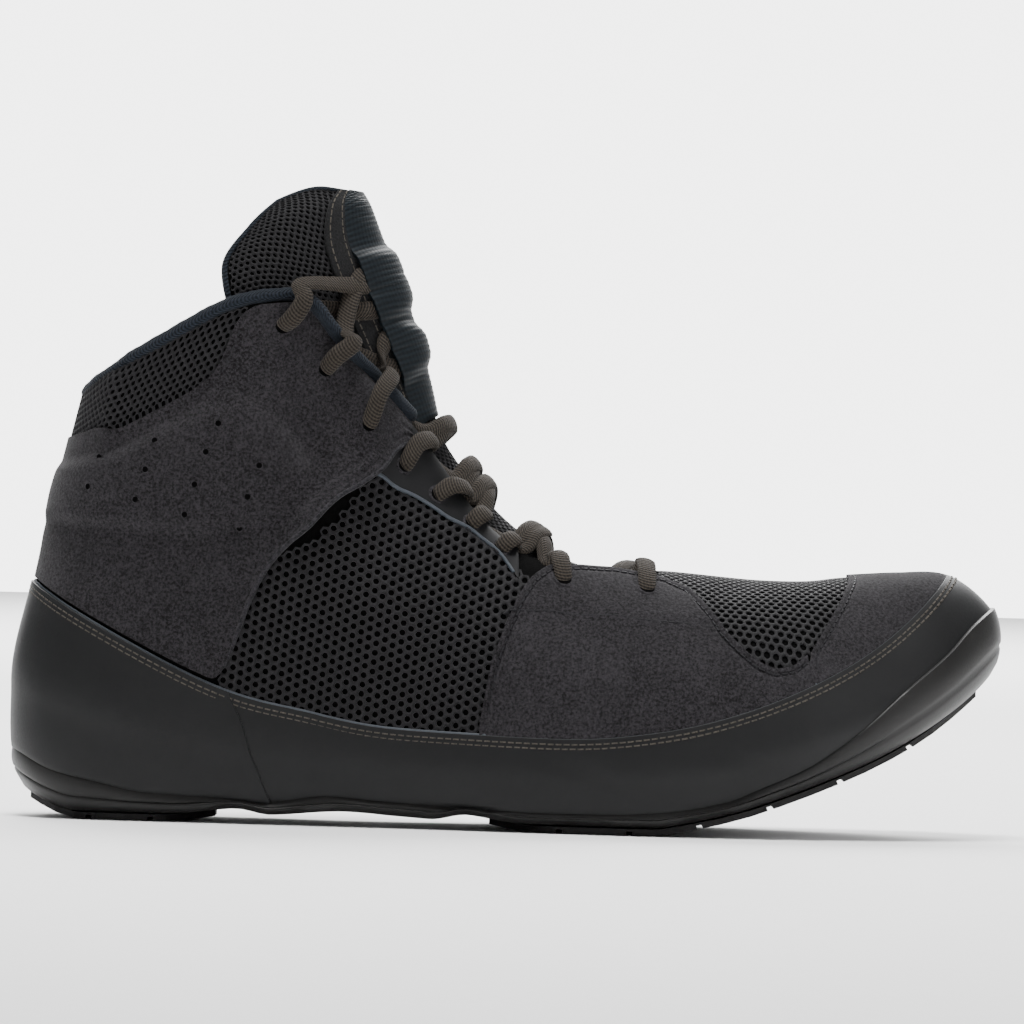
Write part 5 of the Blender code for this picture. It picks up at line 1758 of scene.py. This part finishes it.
@dataclass
class ForefootPanels:
    """The suede panels beside the ball of the foot, in two stitched layers, and the cap over the toe."""

    def build(self, looks: Looks, seams: Seams) -> None:
        """Builds both panels and the cap, and sews them."""
        first, last = SIDE_HIGH[0].station, SIDE_HIGH[-1].station
        for side, node in ((Side.OUTER, "side_panel_outer"), (Side.INNER, "side_panel_inner")):
            ends = sorted(side.stations(np.array([first, last])))
            Panel(
                f"forefoot_suede_{side.name.lower()}",
                ends[0],
                ends[1],
                lambda station: np.full(len(station), PANEL_FOOT - 0.04),
                lambda station: np.maximum(edge_level(SIDE_HIGH, station, 0.05), PANEL_FOOT - 0.02),
                forefoot_rise,
                columns=190,
                rows=60,
            ).build(looks["suede"], "suede", [node])
            self.sew_side(seams, side)
        start = CAP_HIGH[0].station
        Panel(
            "toe_suede",
            start,
            LAST.turn - start,
            lambda station: np.full(len(station), PANEL_FOOT - 0.04),
            lambda station: np.maximum(edge_level(CAP_HIGH, station, 0.06), PANEL_FOOT - 0.02),
            cap_rise,
            columns=140,
            rows=48,
        ).build(looks["suede"], "suede", ["toe_cap"])
        stations = np.linspace(start + 0.05, LAST.turn - start - 0.05, 260)
        level = edge_level(CAP_HIGH, stations, 0.06)
        for part in (stations < HALF_TURN, stations >= HALF_TURN):
            shown = (level < TOP_LEVEL - 0.16) & part
            line = skin(stations[shown], level[shown], PANEL_SEAT + PANEL_WALL)
            seams.sew(line, LAST.normal(stations[shown], level[shown]), -0.0019)

    def sew_side(self, seams: Seams, side: Side) -> None:
        """Sews one panel: along its layer's edge and round the panel's own edge."""
        rise = PANEL_SEAT + PANEL_WALL + 0.0001
        for table, start, end, inset in (
            (LAYER_LOW, 8.55, 12.5, 0.0016), (SIDE_HIGH, 8.16, 13.60, -0.0019)
        ):
            station = side.stations(np.linspace(start, end, 300))
            level = edge_level(table, station, 0.05)
            shown = level < TOP_LEVEL - 0.045
            line = skin(station, level, rise + 0.0003 * (level > 3.1))[shown]
            seams.sew(line, LAST.normal(station, level)[shown], inset * side.value)


@dataclass
class Eyestay:
    """The smooth film beside the throat over the quarter's net, with its pale piping."""

    first: float = 6.15
    last: float = 8.78

    def build(self, looks: Looks) -> None:
        """Builds the film and piping of both sides."""
        for side in Side:
            ends = sorted(side.stations(np.array([self.first, self.last])))
            Panel(
                f"eyestay_{side.name.lower()}",
                ends[0],
                ends[1],
                lambda station: edge_level(STAY_LOW, station),
                lambda station: np.full(len(station), 3.985),
                lambda station, level: np.full(np.broadcast(station, level).shape, 0.0011),
                columns=70,
                rows=22,
                wall=0.0010,
                bevel=0.0003,
            ).build(looks["stay_film"], "band", ())
            station = side.stations(np.linspace(self.first, self.last - 0.1, 80))
            level = edge_level(STAY_LOW, station)
            line = skin(station, level - 0.006, np.full(len(station), 0.0010))
            size = np.full(len(station), 0.00055)
            piping = cloth_grid(
                f"eyestay_piping_{side.name.lower()}", tube_grid(
                    line, LAST.normal(station, level), size, size, 10
                )
            )
            close_tube(piping)
            finish_piece(piping, looks["cut_edge"])


@dataclass
class CollarRoll:
    """The ribbed roll round the collar and down both edges of the throat."""

    radius: float = 0.0019
    lift: float = 0.0030
    end: float = 7.0

    def build(self, looks: Looks) -> None:
        """Builds the roll on the cloth's top edge."""
        stations = np.linspace(-self.end, self.end, 420)
        folded = np.abs(stations)
        edge = LAST.point(stations, np.full(len(stations), TOP_LEVEL))
        up = edge - LAST.point(stations, np.full(len(stations), TOP_LEVEL - 0.1))
        up /= np.linalg.norm(up, axis=1)[:, None]
        normal = LAST.normal(stations, np.full(len(stations), TOP_LEVEL - 0.1))
        out = -UPPER_WALL / 2 + self.lift * smooth(4.0, 5.5, folded)
        line = edge + up * 0.0013 + normal * out[:, None]
        run = arcs(line[:, None], 0)[:, 0]
        puff = 1 + 0.035 * np.sin(run * 2 * np.pi / 0.0085) + 0.02 * np.sin(run * 2 * np.pi / 0.0031)
        ends = np.sqrt(np.clip(np.minimum(run, run[-1] - run) / 0.0015, 0.05, 1.0))
        width = self.radius * 1.08 * puff * ends
        piece = cloth_grid("collar_roll", tube_grid(line, normal, width, width, 18))
        close_tube(piece)
        finish_piece(piece, looks["binding_knit"], ["collar_binding"])


class EvenSheet:
    """A surface told by how far round it is, and how many metres under its top edge."""

    def __init__(self, surface: Callable, across: tuple[float, float], up: tuple[float, float]) -> None:
        """Measures the surface once.

        Args:
            surface: gives points for two numbers and a height.
            across: first and last of the number that goes round.
            up: first and last of the number that goes up.
        """
        self.surface = surface
        self.across = np.linspace(*across, 140)
        up_steps = np.linspace(up[1], up[0], 160)
        first, second = (grid.ravel() for grid in np.meshgrid(self.across, up_steps, indexing="ij"))
        grid = surface(first, second, np.zeros(len(first))).reshape(len(self.across), len(up_steps), 3)
        runs = arcs(grid, 1)
        self.depth = float(runs[:, -1].max())
        self.steps = np.linspace(0.0, self.depth, 200)
        self.found = np.stack([np.interp(self.steps, run, up_steps, right=np.nan) for run in runs])
        self.found = np.where(np.isnan(self.found), up[0], self.found)

    def up_at(self, across: np.ndarray, depth: np.ndarray) -> np.ndarray:
        """The number that goes up, at places told in metres under the top edge."""
        column = np.clip(
            (across - self.across[0]) / (self.across[1] - self.across[0]), 0, len(self.across) - 1.001
        )
        row = np.clip(depth / self.steps[1], 0, len(self.steps) - 1.001)
        left, low = column.astype(int), row.astype(int)
        share, part = column - left, row - low
        near = self.found[left, low] * (1 - share) + self.found[left + 1, low] * share
        far = self.found[left, low + 1] * (1 - share) + self.found[left + 1, low + 1] * share
        return near * (1 - part) + far * part

    def point(self, across: np.ndarray, height: np.ndarray, out: np.ndarray) -> np.ndarray:
        """Points on the surface, height being minus the metres under the top edge."""
        return self.surface(across, self.up_at(across, -height), out)


@dataclass
class Tongue:
    """The padded tongue in its net, with a rolled edge and the woven keeper strip on its front."""

    ribbon_lean: float = 0.42
    ribbon_start: float = 5.3
    ribbon_wall: float = 0.0009

    def build(self, looks: Looks, seams: Seams) -> None:
        """Builds the tongue's pad, net, rolled edge and keeper strip."""
        leans, rows = np.linspace(-1.0, 1.0, 84), np.linspace(0.0, TONGUE_LAST, 140)
        lean, row = (grid.ravel() for grid in np.meshgrid(leans, rows, indexing="ij"))
        points = self.pad_surface(lean, row, np.zeros(len(lean))).reshape(len(leans), len(rows), 3)
        pad = cloth_grid("tongue_pad", points)
        give_wall(pad, TONGUE_WALL, bevel=0.0008)
        finish_piece(pad, looks["under_cloth"], ["tongue"])
        sheet = EvenSheet(self.pad_surface, (-0.985, 0.985), (0.2, TONGUE_LAST - 0.03))
        WrappedNet(
            "tongue_net",
            NetCell(pitch=0.0019, strand=0.00042, height=0.0005, crown=0.00015),
            sheet.point,
            (-0.985, 0.985),
            (-sheet.depth, 0.0),
            lambda lean, height: self.net_shows(lean, sheet.up_at(lean, -height)),
        ).build(looks)
        self.rolled_edge(looks)
        self.ribbon(looks)
        for side in Side:
            self.tape(looks, seams, side)

    def net_shows(self, lean: np.ndarray, row: np.ndarray) -> np.ndarray:
        """Where the net is not under the keeper strip."""
        return ((np.abs(lean) > self.ribbon_lean - 0.07) | (row < self.ribbon_start + 0.1)) & (row > 0.25)

    def pad_surface(self, lean: np.ndarray, row: np.ndarray, out: np.ndarray) -> np.ndarray:
        """Points over the tongue's pad, a little drawn in between its edges."""
        return tongue_at(self.rounded(row, lean), lean, np.asarray(out) - 0.0004)

    def rounded(self, row: np.ndarray, lean: np.ndarray) -> np.ndarray:
        """Rows drawn down at the tongue's two top corners, which rounds them."""
        corner = np.clip((np.abs(lean) - 0.66) / 0.34, 0, 1) ** 2.5
        return row - 0.42 * corner * smooth(8.0, TONGUE_LAST, row)

    def strip_lift(self, row: np.ndarray, lean: np.ndarray) -> np.ndarray:
        """How far the keeper strip rises over the laces that run under it."""
        lift = np.zeros(len(row))
        for crossing in CROSSINGS:
            if crossing.mid > self.ribbon_start:
                for way in (-1, 1):
                    at = crossing.mid + (crossing.far - crossing.near) / 2 * lean * way / self.ribbon_lean
                    lift = np.maximum(lift, 0.0021 * np.exp(-(((row - at) / 0.34) ** 4)))
        return lift

    def rolled_edge(self, looks: Looks) -> None:
        """Builds the narrow roll round the tongue's top."""
        rows = np.concatenate([np.linspace(7.0, 10.9, 60), np.full(90, 11.0), np.linspace(10.9, 7.0, 60)])
        leans = np.concatenate([np.full(60, -1.0), np.linspace(-1.0, 1.0, 90), np.full(60, 1.0)])
        rows = self.rounded(rows, leans)
        line = tongue_at(rows, leans, np.full(len(rows), -TONGUE_WALL / 2))
        keep = np.linalg.norm(np.diff(line, axis=0, prepend=line[:1] - 1), axis=1) > 1e-5
        rows, leans, line = rows[keep], leans[keep], line[keep]
        out = tongue_normal(rows, leans)
        size = np.full(len(line), TONGUE_WALL / 2 + 0.0003)
        piece = cloth_grid("tongue_edge", tube_grid(line, out, size * 0.55, size, 14))
        close_tube(piece)
        finish_piece(piece, looks["binding_knit"])

    def ribbon(self, looks: Looks) -> None:
        """Builds the keeper strip, which rises over the laces."""
        leans = np.linspace(-self.ribbon_lean, self.ribbon_lean, 28)
        rows = np.linspace(self.ribbon_start, TONGUE_LAST, 150)
        lean, row = (grid.ravel() for grid in np.meshgrid(leans, rows, indexing="ij"))
        run = row * 0.0112
        ribs = 0.00007 * np.sin(run * 2 * np.pi / 0.0013)
        out = PANEL_SEAT + self.ribbon_wall + ribs + self.strip_lift(row, lean)
        strip = cloth_grid("keeper_strip", tongue_at(row, lean, out).reshape(len(leans), len(rows), 3))
        give_wall(strip, self.ribbon_wall, bevel=0.0002)
        finish_piece(strip, looks["ribbon_weave"], ["tongue_ribbon"])

    def tape(self, looks: Looks, seams: Seams, side: Side) -> None:
        """Builds the dark tape beside the keeper strip, sewn along both its edges."""
        near, away = self.ribbon_lean - 0.03, self.ribbon_lean + 0.13
        leans = np.sort(np.linspace(near, away, 12) * -side.value)
        rows = np.linspace(self.ribbon_start, TONGUE_LAST - 0.06, 150)
        lean, row = (grid.ravel() for grid in np.meshgrid(leans, rows, indexing="ij"))
        points = tongue_at(row, lean, np.full(len(row), 0.00115)).reshape(len(leans), len(rows), 3)
        strip = cloth_grid(f"keeper_tape_{side.name.lower()}", points)
        give_wall(strip, 0.0008, bevel=0.0002)
        finish_piece(strip, looks["keeper_tape"])
        for at in (near + 0.05, away - 0.03):
            across = np.full(len(rows), -at * side.value)
            seams.sew(tongue_at(rows, across, np.full(len(rows), 0.00125)), tongue_normal(rows, across))


class Crossing(NamedTuple):
    """A strand's way: station where it leaves the throat's edge, and tongue rows near, midway and far."""

    lip: float
    near: float
    mid: float
    far: float


CROSSINGS = (
    Crossing(4.55, 8.10, 8.42, 8.10), Crossing(5.85, 8.27, 7.95, 7.62), Crossing(6.48, 7.05, 6.80, 6.50),
    Crossing(7.22, 4.92, 5.02, 5.15), Crossing(7.78, 4.02, 4.14, 4.25), Crossing(8.12, 3.58, 3.76, 3.90),
    Crossing(8.66, 2.92, 2.62, 2.85), Crossing(9.42, 2.40, 2.72, 2.95), Crossing(10.94, 1.12, 1.22, 1.50),
)


@dataclass
class Lacing:
    """The flat lace: strands that leave each hole outward, cross the tongue and end under the far edge."""

    width: float = 0.0055
    thick: float = 0.0023
    strip_from: float = 5.3
    strands: list = field(default_factory=list)

    def rows(
        self, points: np.ndarray, out: np.ndarray, width: Sequence[float], thick: Sequence[float]
    ) -> np.ndarray:
        """Waypoints as rows of xyz, out, share of the width and share of the thickness."""
        return np.concatenate([points, out, np.stack([width, thick], axis=1)], axis=1)

    def hole_end(self, hole: Eyelet, side: Side, crossing: Crossing) -> np.ndarray:
        """Waypoints from inside a hole to the edge of the throat."""
        on_panel = PANEL_SEAT + PANEL_WALL + self.thick / 2 + 0.0003
        roll = 0.0022 + 0.0016 * smooth(4.2, 5.4, crossing.lip) if crossing.lip < 7.0 else 0.0004
        folded = np.array(
            [hole.station, hole.station, hole.station * 0.55 + crossing.lip * 0.45, crossing.lip]
        )
        levels = np.array([hole.level, hole.level, hole.level * 0.5 + TOP_LEVEL * 0.5 - 0.02, TOP_LEVEL])
        station = side.stations(folded)
        edge = on_panel + roll
        points = skin(station, levels, np.array([-0.0022, 0.0011, on_panel + roll * 0.55, edge]))
        normal = LAST.normal(station, levels)
        away = points[0] - points[3]
        away /= np.linalg.norm(away)
        out = np.stack([away, 0.75 * away + 0.65 * normal[1], normal[2] + 0.1 * away, normal[3]])
        ends = self.rows(points, out, (0.72, 0.86, 1.0, 1.0), (1.0, 1.05, 1.0, 1.0))
        if crossing.lip > 7.0:
            return ends
        up = LAST.point(station[3:], levels[3:]) - LAST.point(station[3:], levels[3:] - 0.1)
        up /= np.linalg.norm(up)
        over = points[3:] + up * 0.0038 - normal[3:] * (edge - 0.0032)
        return np.concatenate([ends, self.rows(over, normal[3:] + up, (1.0,), (1.0,))])

    def crest(self, crossing: Crossing, side: Side, lift: float) -> np.ndarray:
        """Waypoints over the tongue, pressed flat where the keeper strip covers them."""
        share = np.array([-1.0, -0.5, 0.0, 0.5, 1.0])
        leans = 0.42 * share * side.value
        rows = np.interp(share, (-1, 0, 1), (crossing.near, crossing.mid, crossing.far))
        covered = crossing.mid > self.strip_from
        flat = np.array([0.9, 0.42, 0.38, 0.42, 0.6]) if covered else np.array([1.0, 1.0, 1.0, 0.9, 0.8])
        hump = 0.0 if covered else 0.0011
        out = PANEL_SEAT + 0.0005 + self.thick / 2 * flat + lift * (
            1 - share**2
        ) + hump * np.cos(share * 1.2)
        points = tongue_at(rows, leans, out)
        return self.rows(points, tongue_normal(rows, leans), np.ones(5), flat)

    def under_end(self, hole: Eyelet, side: Side) -> np.ndarray:
        """Waypoints from under the throat's far edge to the inside of its hole."""
        station = side.stations(np.array([hole.station, hole.station]))
        level = np.array([(hole.level + TOP_LEVEL) / 2, hole.level])
        points = skin(station, level, np.full(2, -UPPER_WALL - self.thick * 0.3))
        return self.rows(points, LAST.normal(station, level), (0.9, 0.7), (0.5, 0.5))

    def build(self, looks: Looks) -> None:
        """Builds every crossing and the top bar as one laced piece."""
        for number, hole in enumerate(EYELETS[1:], start=1):
            for side in Side:
                lift = 0.0004 if side is Side.OUTER else 0.0014
                crest = self.crest(CROSSINGS[number], side, lift)
                far = Side.INNER if side is Side.OUTER else Side.OUTER
                start = self.hole_end(hole, side, CROSSINGS[number])
                self.strands.append(
                    np.concatenate([start, crest, self.under_end(EYELETS[number - 1], far)])
                )
        start = self.hole_end(EYELETS[0], Side.OUTER, CROSSINGS[0])
        end = self.hole_end(EYELETS[0], Side.INNER, CROSSINGS[0])
        self.strands.append(np.concatenate([start, self.crest(CROSSINGS[0], Side.OUTER, 0.0), end[::-1]]))
        pieces, whole = [], 0.0
        for number, strand in enumerate(self.strands):
            path = soft_path(strand, 0.0005)
            run = arcs(path[:, None, :3], 0)[:, 0]
            whole += run[-1]
            rib = 1 + 0.022 * np.sin(run * 2 * np.pi / 0.0015)
            width, thick = self.width / 2 * path[:, 6] * rib, self.thick / 2 * path[:, 7] * rib
            piece = cloth_grid(
                f"lace_strand_{number}", tube_grid(path[:, :3], path[:, 3:6], width, thick, 12)
            )
            close_tube(piece)
            pieces.append(piece)
        LOG.info("lace length %.3f m", whole)
        deselect()
        for piece in pieces:
            piece.select_set(True)
        bpy.context.view_layer.objects.active = pieces[0]
        bpy.ops.object.join()
        lace = bpy.context.object
        lace.name = lace.data.name = "lace"
        nodes = [f"lace_crossing_{number}" for number in range(1, len(EYELETS))] + ["lace_top_bar"]
        finish_piece(lace, looks["lace_weave"], nodes)


@dataclass
class CupSole:
    """The rubber cup: underside, side wall with its groove, rim round the band, and foot bed."""

    columns: int = 34 * 8
    side_rows: int = 14

    def pod_share(self, x: np.ndarray) -> np.ndarray:
        """1 where a tread lies under the sole, 0 at the waist."""
        heel = 1 - smooth(HEEL_POD_END + POD_MARGIN, HEEL_POD_END + 3 * POD_MARGIN, x / LENGTH)
        fore = smooth(FORE_POD_START - 3 * POD_MARGIN, FORE_POD_START - POD_MARGIN, x / LENGTH)
        return heel + fore

    def under(self, x: np.ndarray) -> np.ndarray:
        """Height of the cup's underside."""
        return under_height(x) + (TREAD_WALL + 2 * CLEAR) * self.pod_share(x)

    def drawn_in(
        self, points: np.ndarray, share: float, height: Callable[[np.ndarray], np.ndarray]
    ) -> np.ndarray:
        """A loop drawn in towards the centre line of the foot."""
        x, y = points[:, 0], points[:, 1]
        facing = (-np.arange(len(x))) % len(x)
        low, high = x.min(), x.max()
        part = ((x + x[facing]) / 2 - low) / (high - low)
        centre = low + 0.1 * LENGTH + part * (high - low - 0.2 * LENGTH)
        along = centre + (x - centre) * share
        middle = swing(centre, np.zeros_like(centre))
        return np.stack([along, middle + (y - middle) * share, height(along)], axis=1)

    def wall_line(self, stations: np.ndarray, inset: float) -> np.ndarray:
        """Plan outline of the foot's wall, drawn in."""
        one = np.ones(len(stations))
        out = LAST.normal(stations, one) * (1, 1, 0)
        return LAST.point(stations, one) - out / np.linalg.norm(out, axis=1)[:, None] * inset

    def build(self, looks: Looks) -> None:
        """Builds the cup and dresses the two treads and the insole."""
        stations = np.linspace(0.0, float(LAST.turn), self.columns + 1)[:-1]
        rim = LAST.level_at_height(stations, rim_height)
        x = LAST.point(stations, rim)[:, 0]
        thick = RIM_WALL + (BUMPER_WALL - RIM_WALL) * smooth(0.80 * LENGTH, 0.95 * LENGTH, x)
        edge = self.wall_line(stations, 0.0022)
        edge[:, 2] = self.under(edge[:, 0])
        corner = self.wall_line(stations, 0.0004)
        corner[:, 2] = self.under(corner[:, 0]) + 0.0016
        top = LAST.at(stations, rim - 0.02, thick)
        bulge = LAST.normal(stations, rim * 0.8) * (1, 1, 0.2)
        rise = (top[:, 2] - corner[:, 2])[:, None]
        loops = [self.drawn_in(edge, share, self.under) for share in (0.0, 0.2, 0.4, 0.6, 0.8, 0.92)]
        loops.append(edge)
        for part in np.linspace(0.0, 1.0, self.side_rows):
            loop = corner + (top - corner) * part + bulge * rise * 0.40 * part * (1 - part)
            groove = 0.0005 * math.exp(-(((part - 0.30) / 0.05) ** 2))
            loops.append(loop - bulge * groove)
        clear = np.full(len(stations), SEAT_CLEAR)
        loops.append(LAST.at(stations, rim, thick * 0.8))
        loops.append(LAST.at(stations, rim + 0.004, thick * 0.45))
        for share in (1.0, 0.75, 0.5, 0.25, 0.0):
            loops.append(LAST.at(stations, rim * share, clear * 0.2))
        bed = loops[-1]
        for share in (0.9, 0.6, 0.3, 0.0):
            loops.append(self.drawn_in(bed, share, lambda along: bed_height(along) - SEAT_CLEAR))
        grid = np.stack(loops, axis=1)
        grid = np.concatenate([grid, grid[:1]])
        piece = cloth_grid("cup_sole", grid)
        weld_seam(piece)
        finish_piece(piece, looks["sole_rubber"], ["outsole"])
        for node in ("tread_heel", "tread_forefoot"):
            self.dress(node, looks["tread_rubber"])
        self.dress("insole", looks["foam"])

    def dress(self, node: str, look: bpy.types.Material) -> None:
        """Gives a node of the frame its finish."""
        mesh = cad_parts[node].data
        mesh.materials.clear()
        mesh.materials.append(look)


@dataclass
class Stage:
    """The pale floor, the soft lights and the camera at the photograph's angle."""

    distance: float = 2.5
    picture_width: float = 0.297
    centre: tuple[float, float] = (0.1096, 0.0912)
    roll_deg: float = 1.5
    sensor_mm: float = 36.0

    def build(self) -> None:
        """Builds the stage."""
        self.floor()
        self.light("key_light", (0.02, -0.22, 1.60), (0.11, 0.0, 0.06), 0.6, 38.0)
        self.light("front_light", (1.15, -0.9, 0.75), (0.12, 0.0, 0.06), 0.7, 4.0)
        self.light("rim_light", (0.10, 1.0, 1.1), (0.11, 0.0, 0.08), 1.0, 12.0)
        self.light("backdrop_light", (0.11, 3.2, 2.2), (0.11, 3.0, 0.0), 3.0, 300.0)
        self.room()
        self.camera()

    def room(self) -> None:
        """Sets the room's light: soft all round, with a white wall behind the shoe."""
        world = bpy.data.worlds.new("soft_room")
        world.use_nodes = True
        tree = world.node_tree
        background = tree.nodes["Background"]
        background.inputs["Color"].default_value = (1.0, 1.0, 1.0, 1.0)
        facing = put(
            tree, "ShaderNodeSeparateXYZ",
            {0: tree.nodes.new("ShaderNodeTexCoord").outputs["Generated"]},
        )
        wall = put(
            tree, "ShaderNodeMapRange", {"Value": facing.outputs[1]}, interpolation_type="SMOOTHSTEP"
        )
        wall.inputs["From Min"].default_value, wall.inputs["From Max"].default_value = 0.80, 0.97
        wall.inputs["To Min"].default_value, wall.inputs["To Max"].default_value = 0.32, 4.8
        tree.links.new(wall.outputs[0], background.inputs["Strength"])
        bpy.context.scene.world = world

    def floor(self) -> None:
        """Builds the floor: a wide disc whose far edge is out of sight."""
        deselect()
        bpy.ops.mesh.primitive_circle_add(vertices=96, radius=6.0, fill_type="NGON")
        floor = bpy.context.object
        floor.name = floor.data.name = "studio_floor"
        floor.location.z = -0.0002
        look = bpy.data.materials.new("white_paper")
        look.use_nodes = True
        tree = look.node_tree
        shader = tree.nodes["Principled BSDF"]
        place = tree.nodes.new("ShaderNodeTexCoord").outputs["Object"]
        grain = put(tree, "ShaderNodeTexNoise", {"Vector": place, "Scale": 40.0, "Detail": 2.0})
        tone = put(tree, "ShaderNodeMapRange", {"Value": grain.outputs[0]})
        tone.inputs["To Min"].default_value, tone.inputs["To Max"].default_value = 0.93, 0.95
        tree.links.new(tone.outputs[0], shader.inputs["Base Color"])
        shader.inputs["Roughness"].default_value = 0.9
        floor.data.materials.append(look)

    def light(self, name: str, place: tuple, aim: tuple, size: float, power: float) -> None:
        """Adds one soft square light that looks at a point."""
        deselect()
        bpy.ops.object.light_add(type="AREA", location=place)
        lamp = bpy.context.object
        lamp.name = name
        lamp.data.shape = "SQUARE"
        lamp.data.size = size
        lamp.data.energy = power
        away = np.array(place) - np.array(aim)
        away /= np.linalg.norm(away)
        lamp.rotation_euler = (math.acos(away[2]), 0.0, math.atan2(away[1], away[0]) + math.pi / 2)

    def camera(self) -> None:
        """Adds the camera, level with the middle of the shoe's outer side and rolled a little."""
        deselect()
        bpy.ops.object.camera_add(location=(self.centre[0], -self.distance, self.centre[1]))
        camera = bpy.context.object
        camera.name = "photo_camera"
        camera.data.sensor_width = self.sensor_mm
        camera.data.lens = self.sensor_mm * self.distance / self.picture_width
        camera.data.clip_start, camera.data.clip_end = 0.05, 50.0
        camera.rotation_euler = (math.pi / 2, -math.radians(self.roll_deg), 0.0)
        bpy.context.scene.camera = camera


def lace_holes(holes: PunchedHoles) -> None:
    """Adds the rims of all the lace holes, on the surface of the panel that each is in."""
    for number, hole in enumerate(EYELETS):
        for side in Side:
            place = side.stations(np.array([hole.station])), np.array([hole.level])
            if number < 3:
                rise = wrap_rise(*place)
            elif number < 7:
                rise = np.array([0.0011])
            else:
                rise = forefoot_rise(*place)
            holes.add(skin(*place, rise), LAST.normal(*place), 0.0021)


def build_nets(looks: Looks) -> None:
    """Builds the nets of the quarters, the toe and the collar."""
    for side in Side:
        start, end = sorted(side.stations(np.array([2.8, 9.2])))
        ProjectedNet(
            f"quarter_net_{side.name.lower()}", NetCell(turn_deg=24.0), (0, 2), (start, end), quarter_shows
        ).build(looks)
        start, end = (11.0, 17.0) if side is Side.OUTER else (17.0, 23.0)
        cell = NetCell(pitch=0.0026, tall=0.72, strand=0.00046, height=0.00052, crown=0.00015)
        ProjectedNet(f"toe_net_{side.name.lower()}", cell, (0, 1), (start, end), toe_shows).build(looks)
    sheet = EvenSheet(skin, (-3.35, 3.35), (3.25, 3.99))
    WrappedNet(
        "collar_net",
        NetCell(pitch=0.0022, strand=0.00050, height=0.0006, crown=0.00018),
        sheet.point,
        (-3.35, 3.35),
        (-sheet.depth, 0.0),
        lambda station, height: collar_shows(station, sheet.up_at(station, -height)),
    ).build(looks)


def main() -> None:
    """Builds the stage and the shoe, sub-assembly by sub-assembly."""
    logging.basicConfig(level=logging.INFO, format="%(message)s")
    Stage().build()
    looks = Looks()
    looks.build()
    seams, dark_seams, holes = Seams(), Seams(), PunchedHoles()
    Bootie().build(looks)
    build_nets(looks)
    Band().build(looks, seams)
    AnkleWrap().build(looks, dark_seams, holes)
    ForefootPanels().build(looks, dark_seams)
    Eyestay().build(looks)
    CollarRoll().build(looks)
    Tongue().build(looks, seams)
    Lacing().build(looks)
    CupSole().build(looks)
    lace_holes(holes)
    holes.build(looks)
    seams.build("band_stitches", looks["stitch_thread"], "band")
    dark_seams.build("panel_stitches", looks["dark_thread"], "suede")


if __name__ == "__main__":
    main()
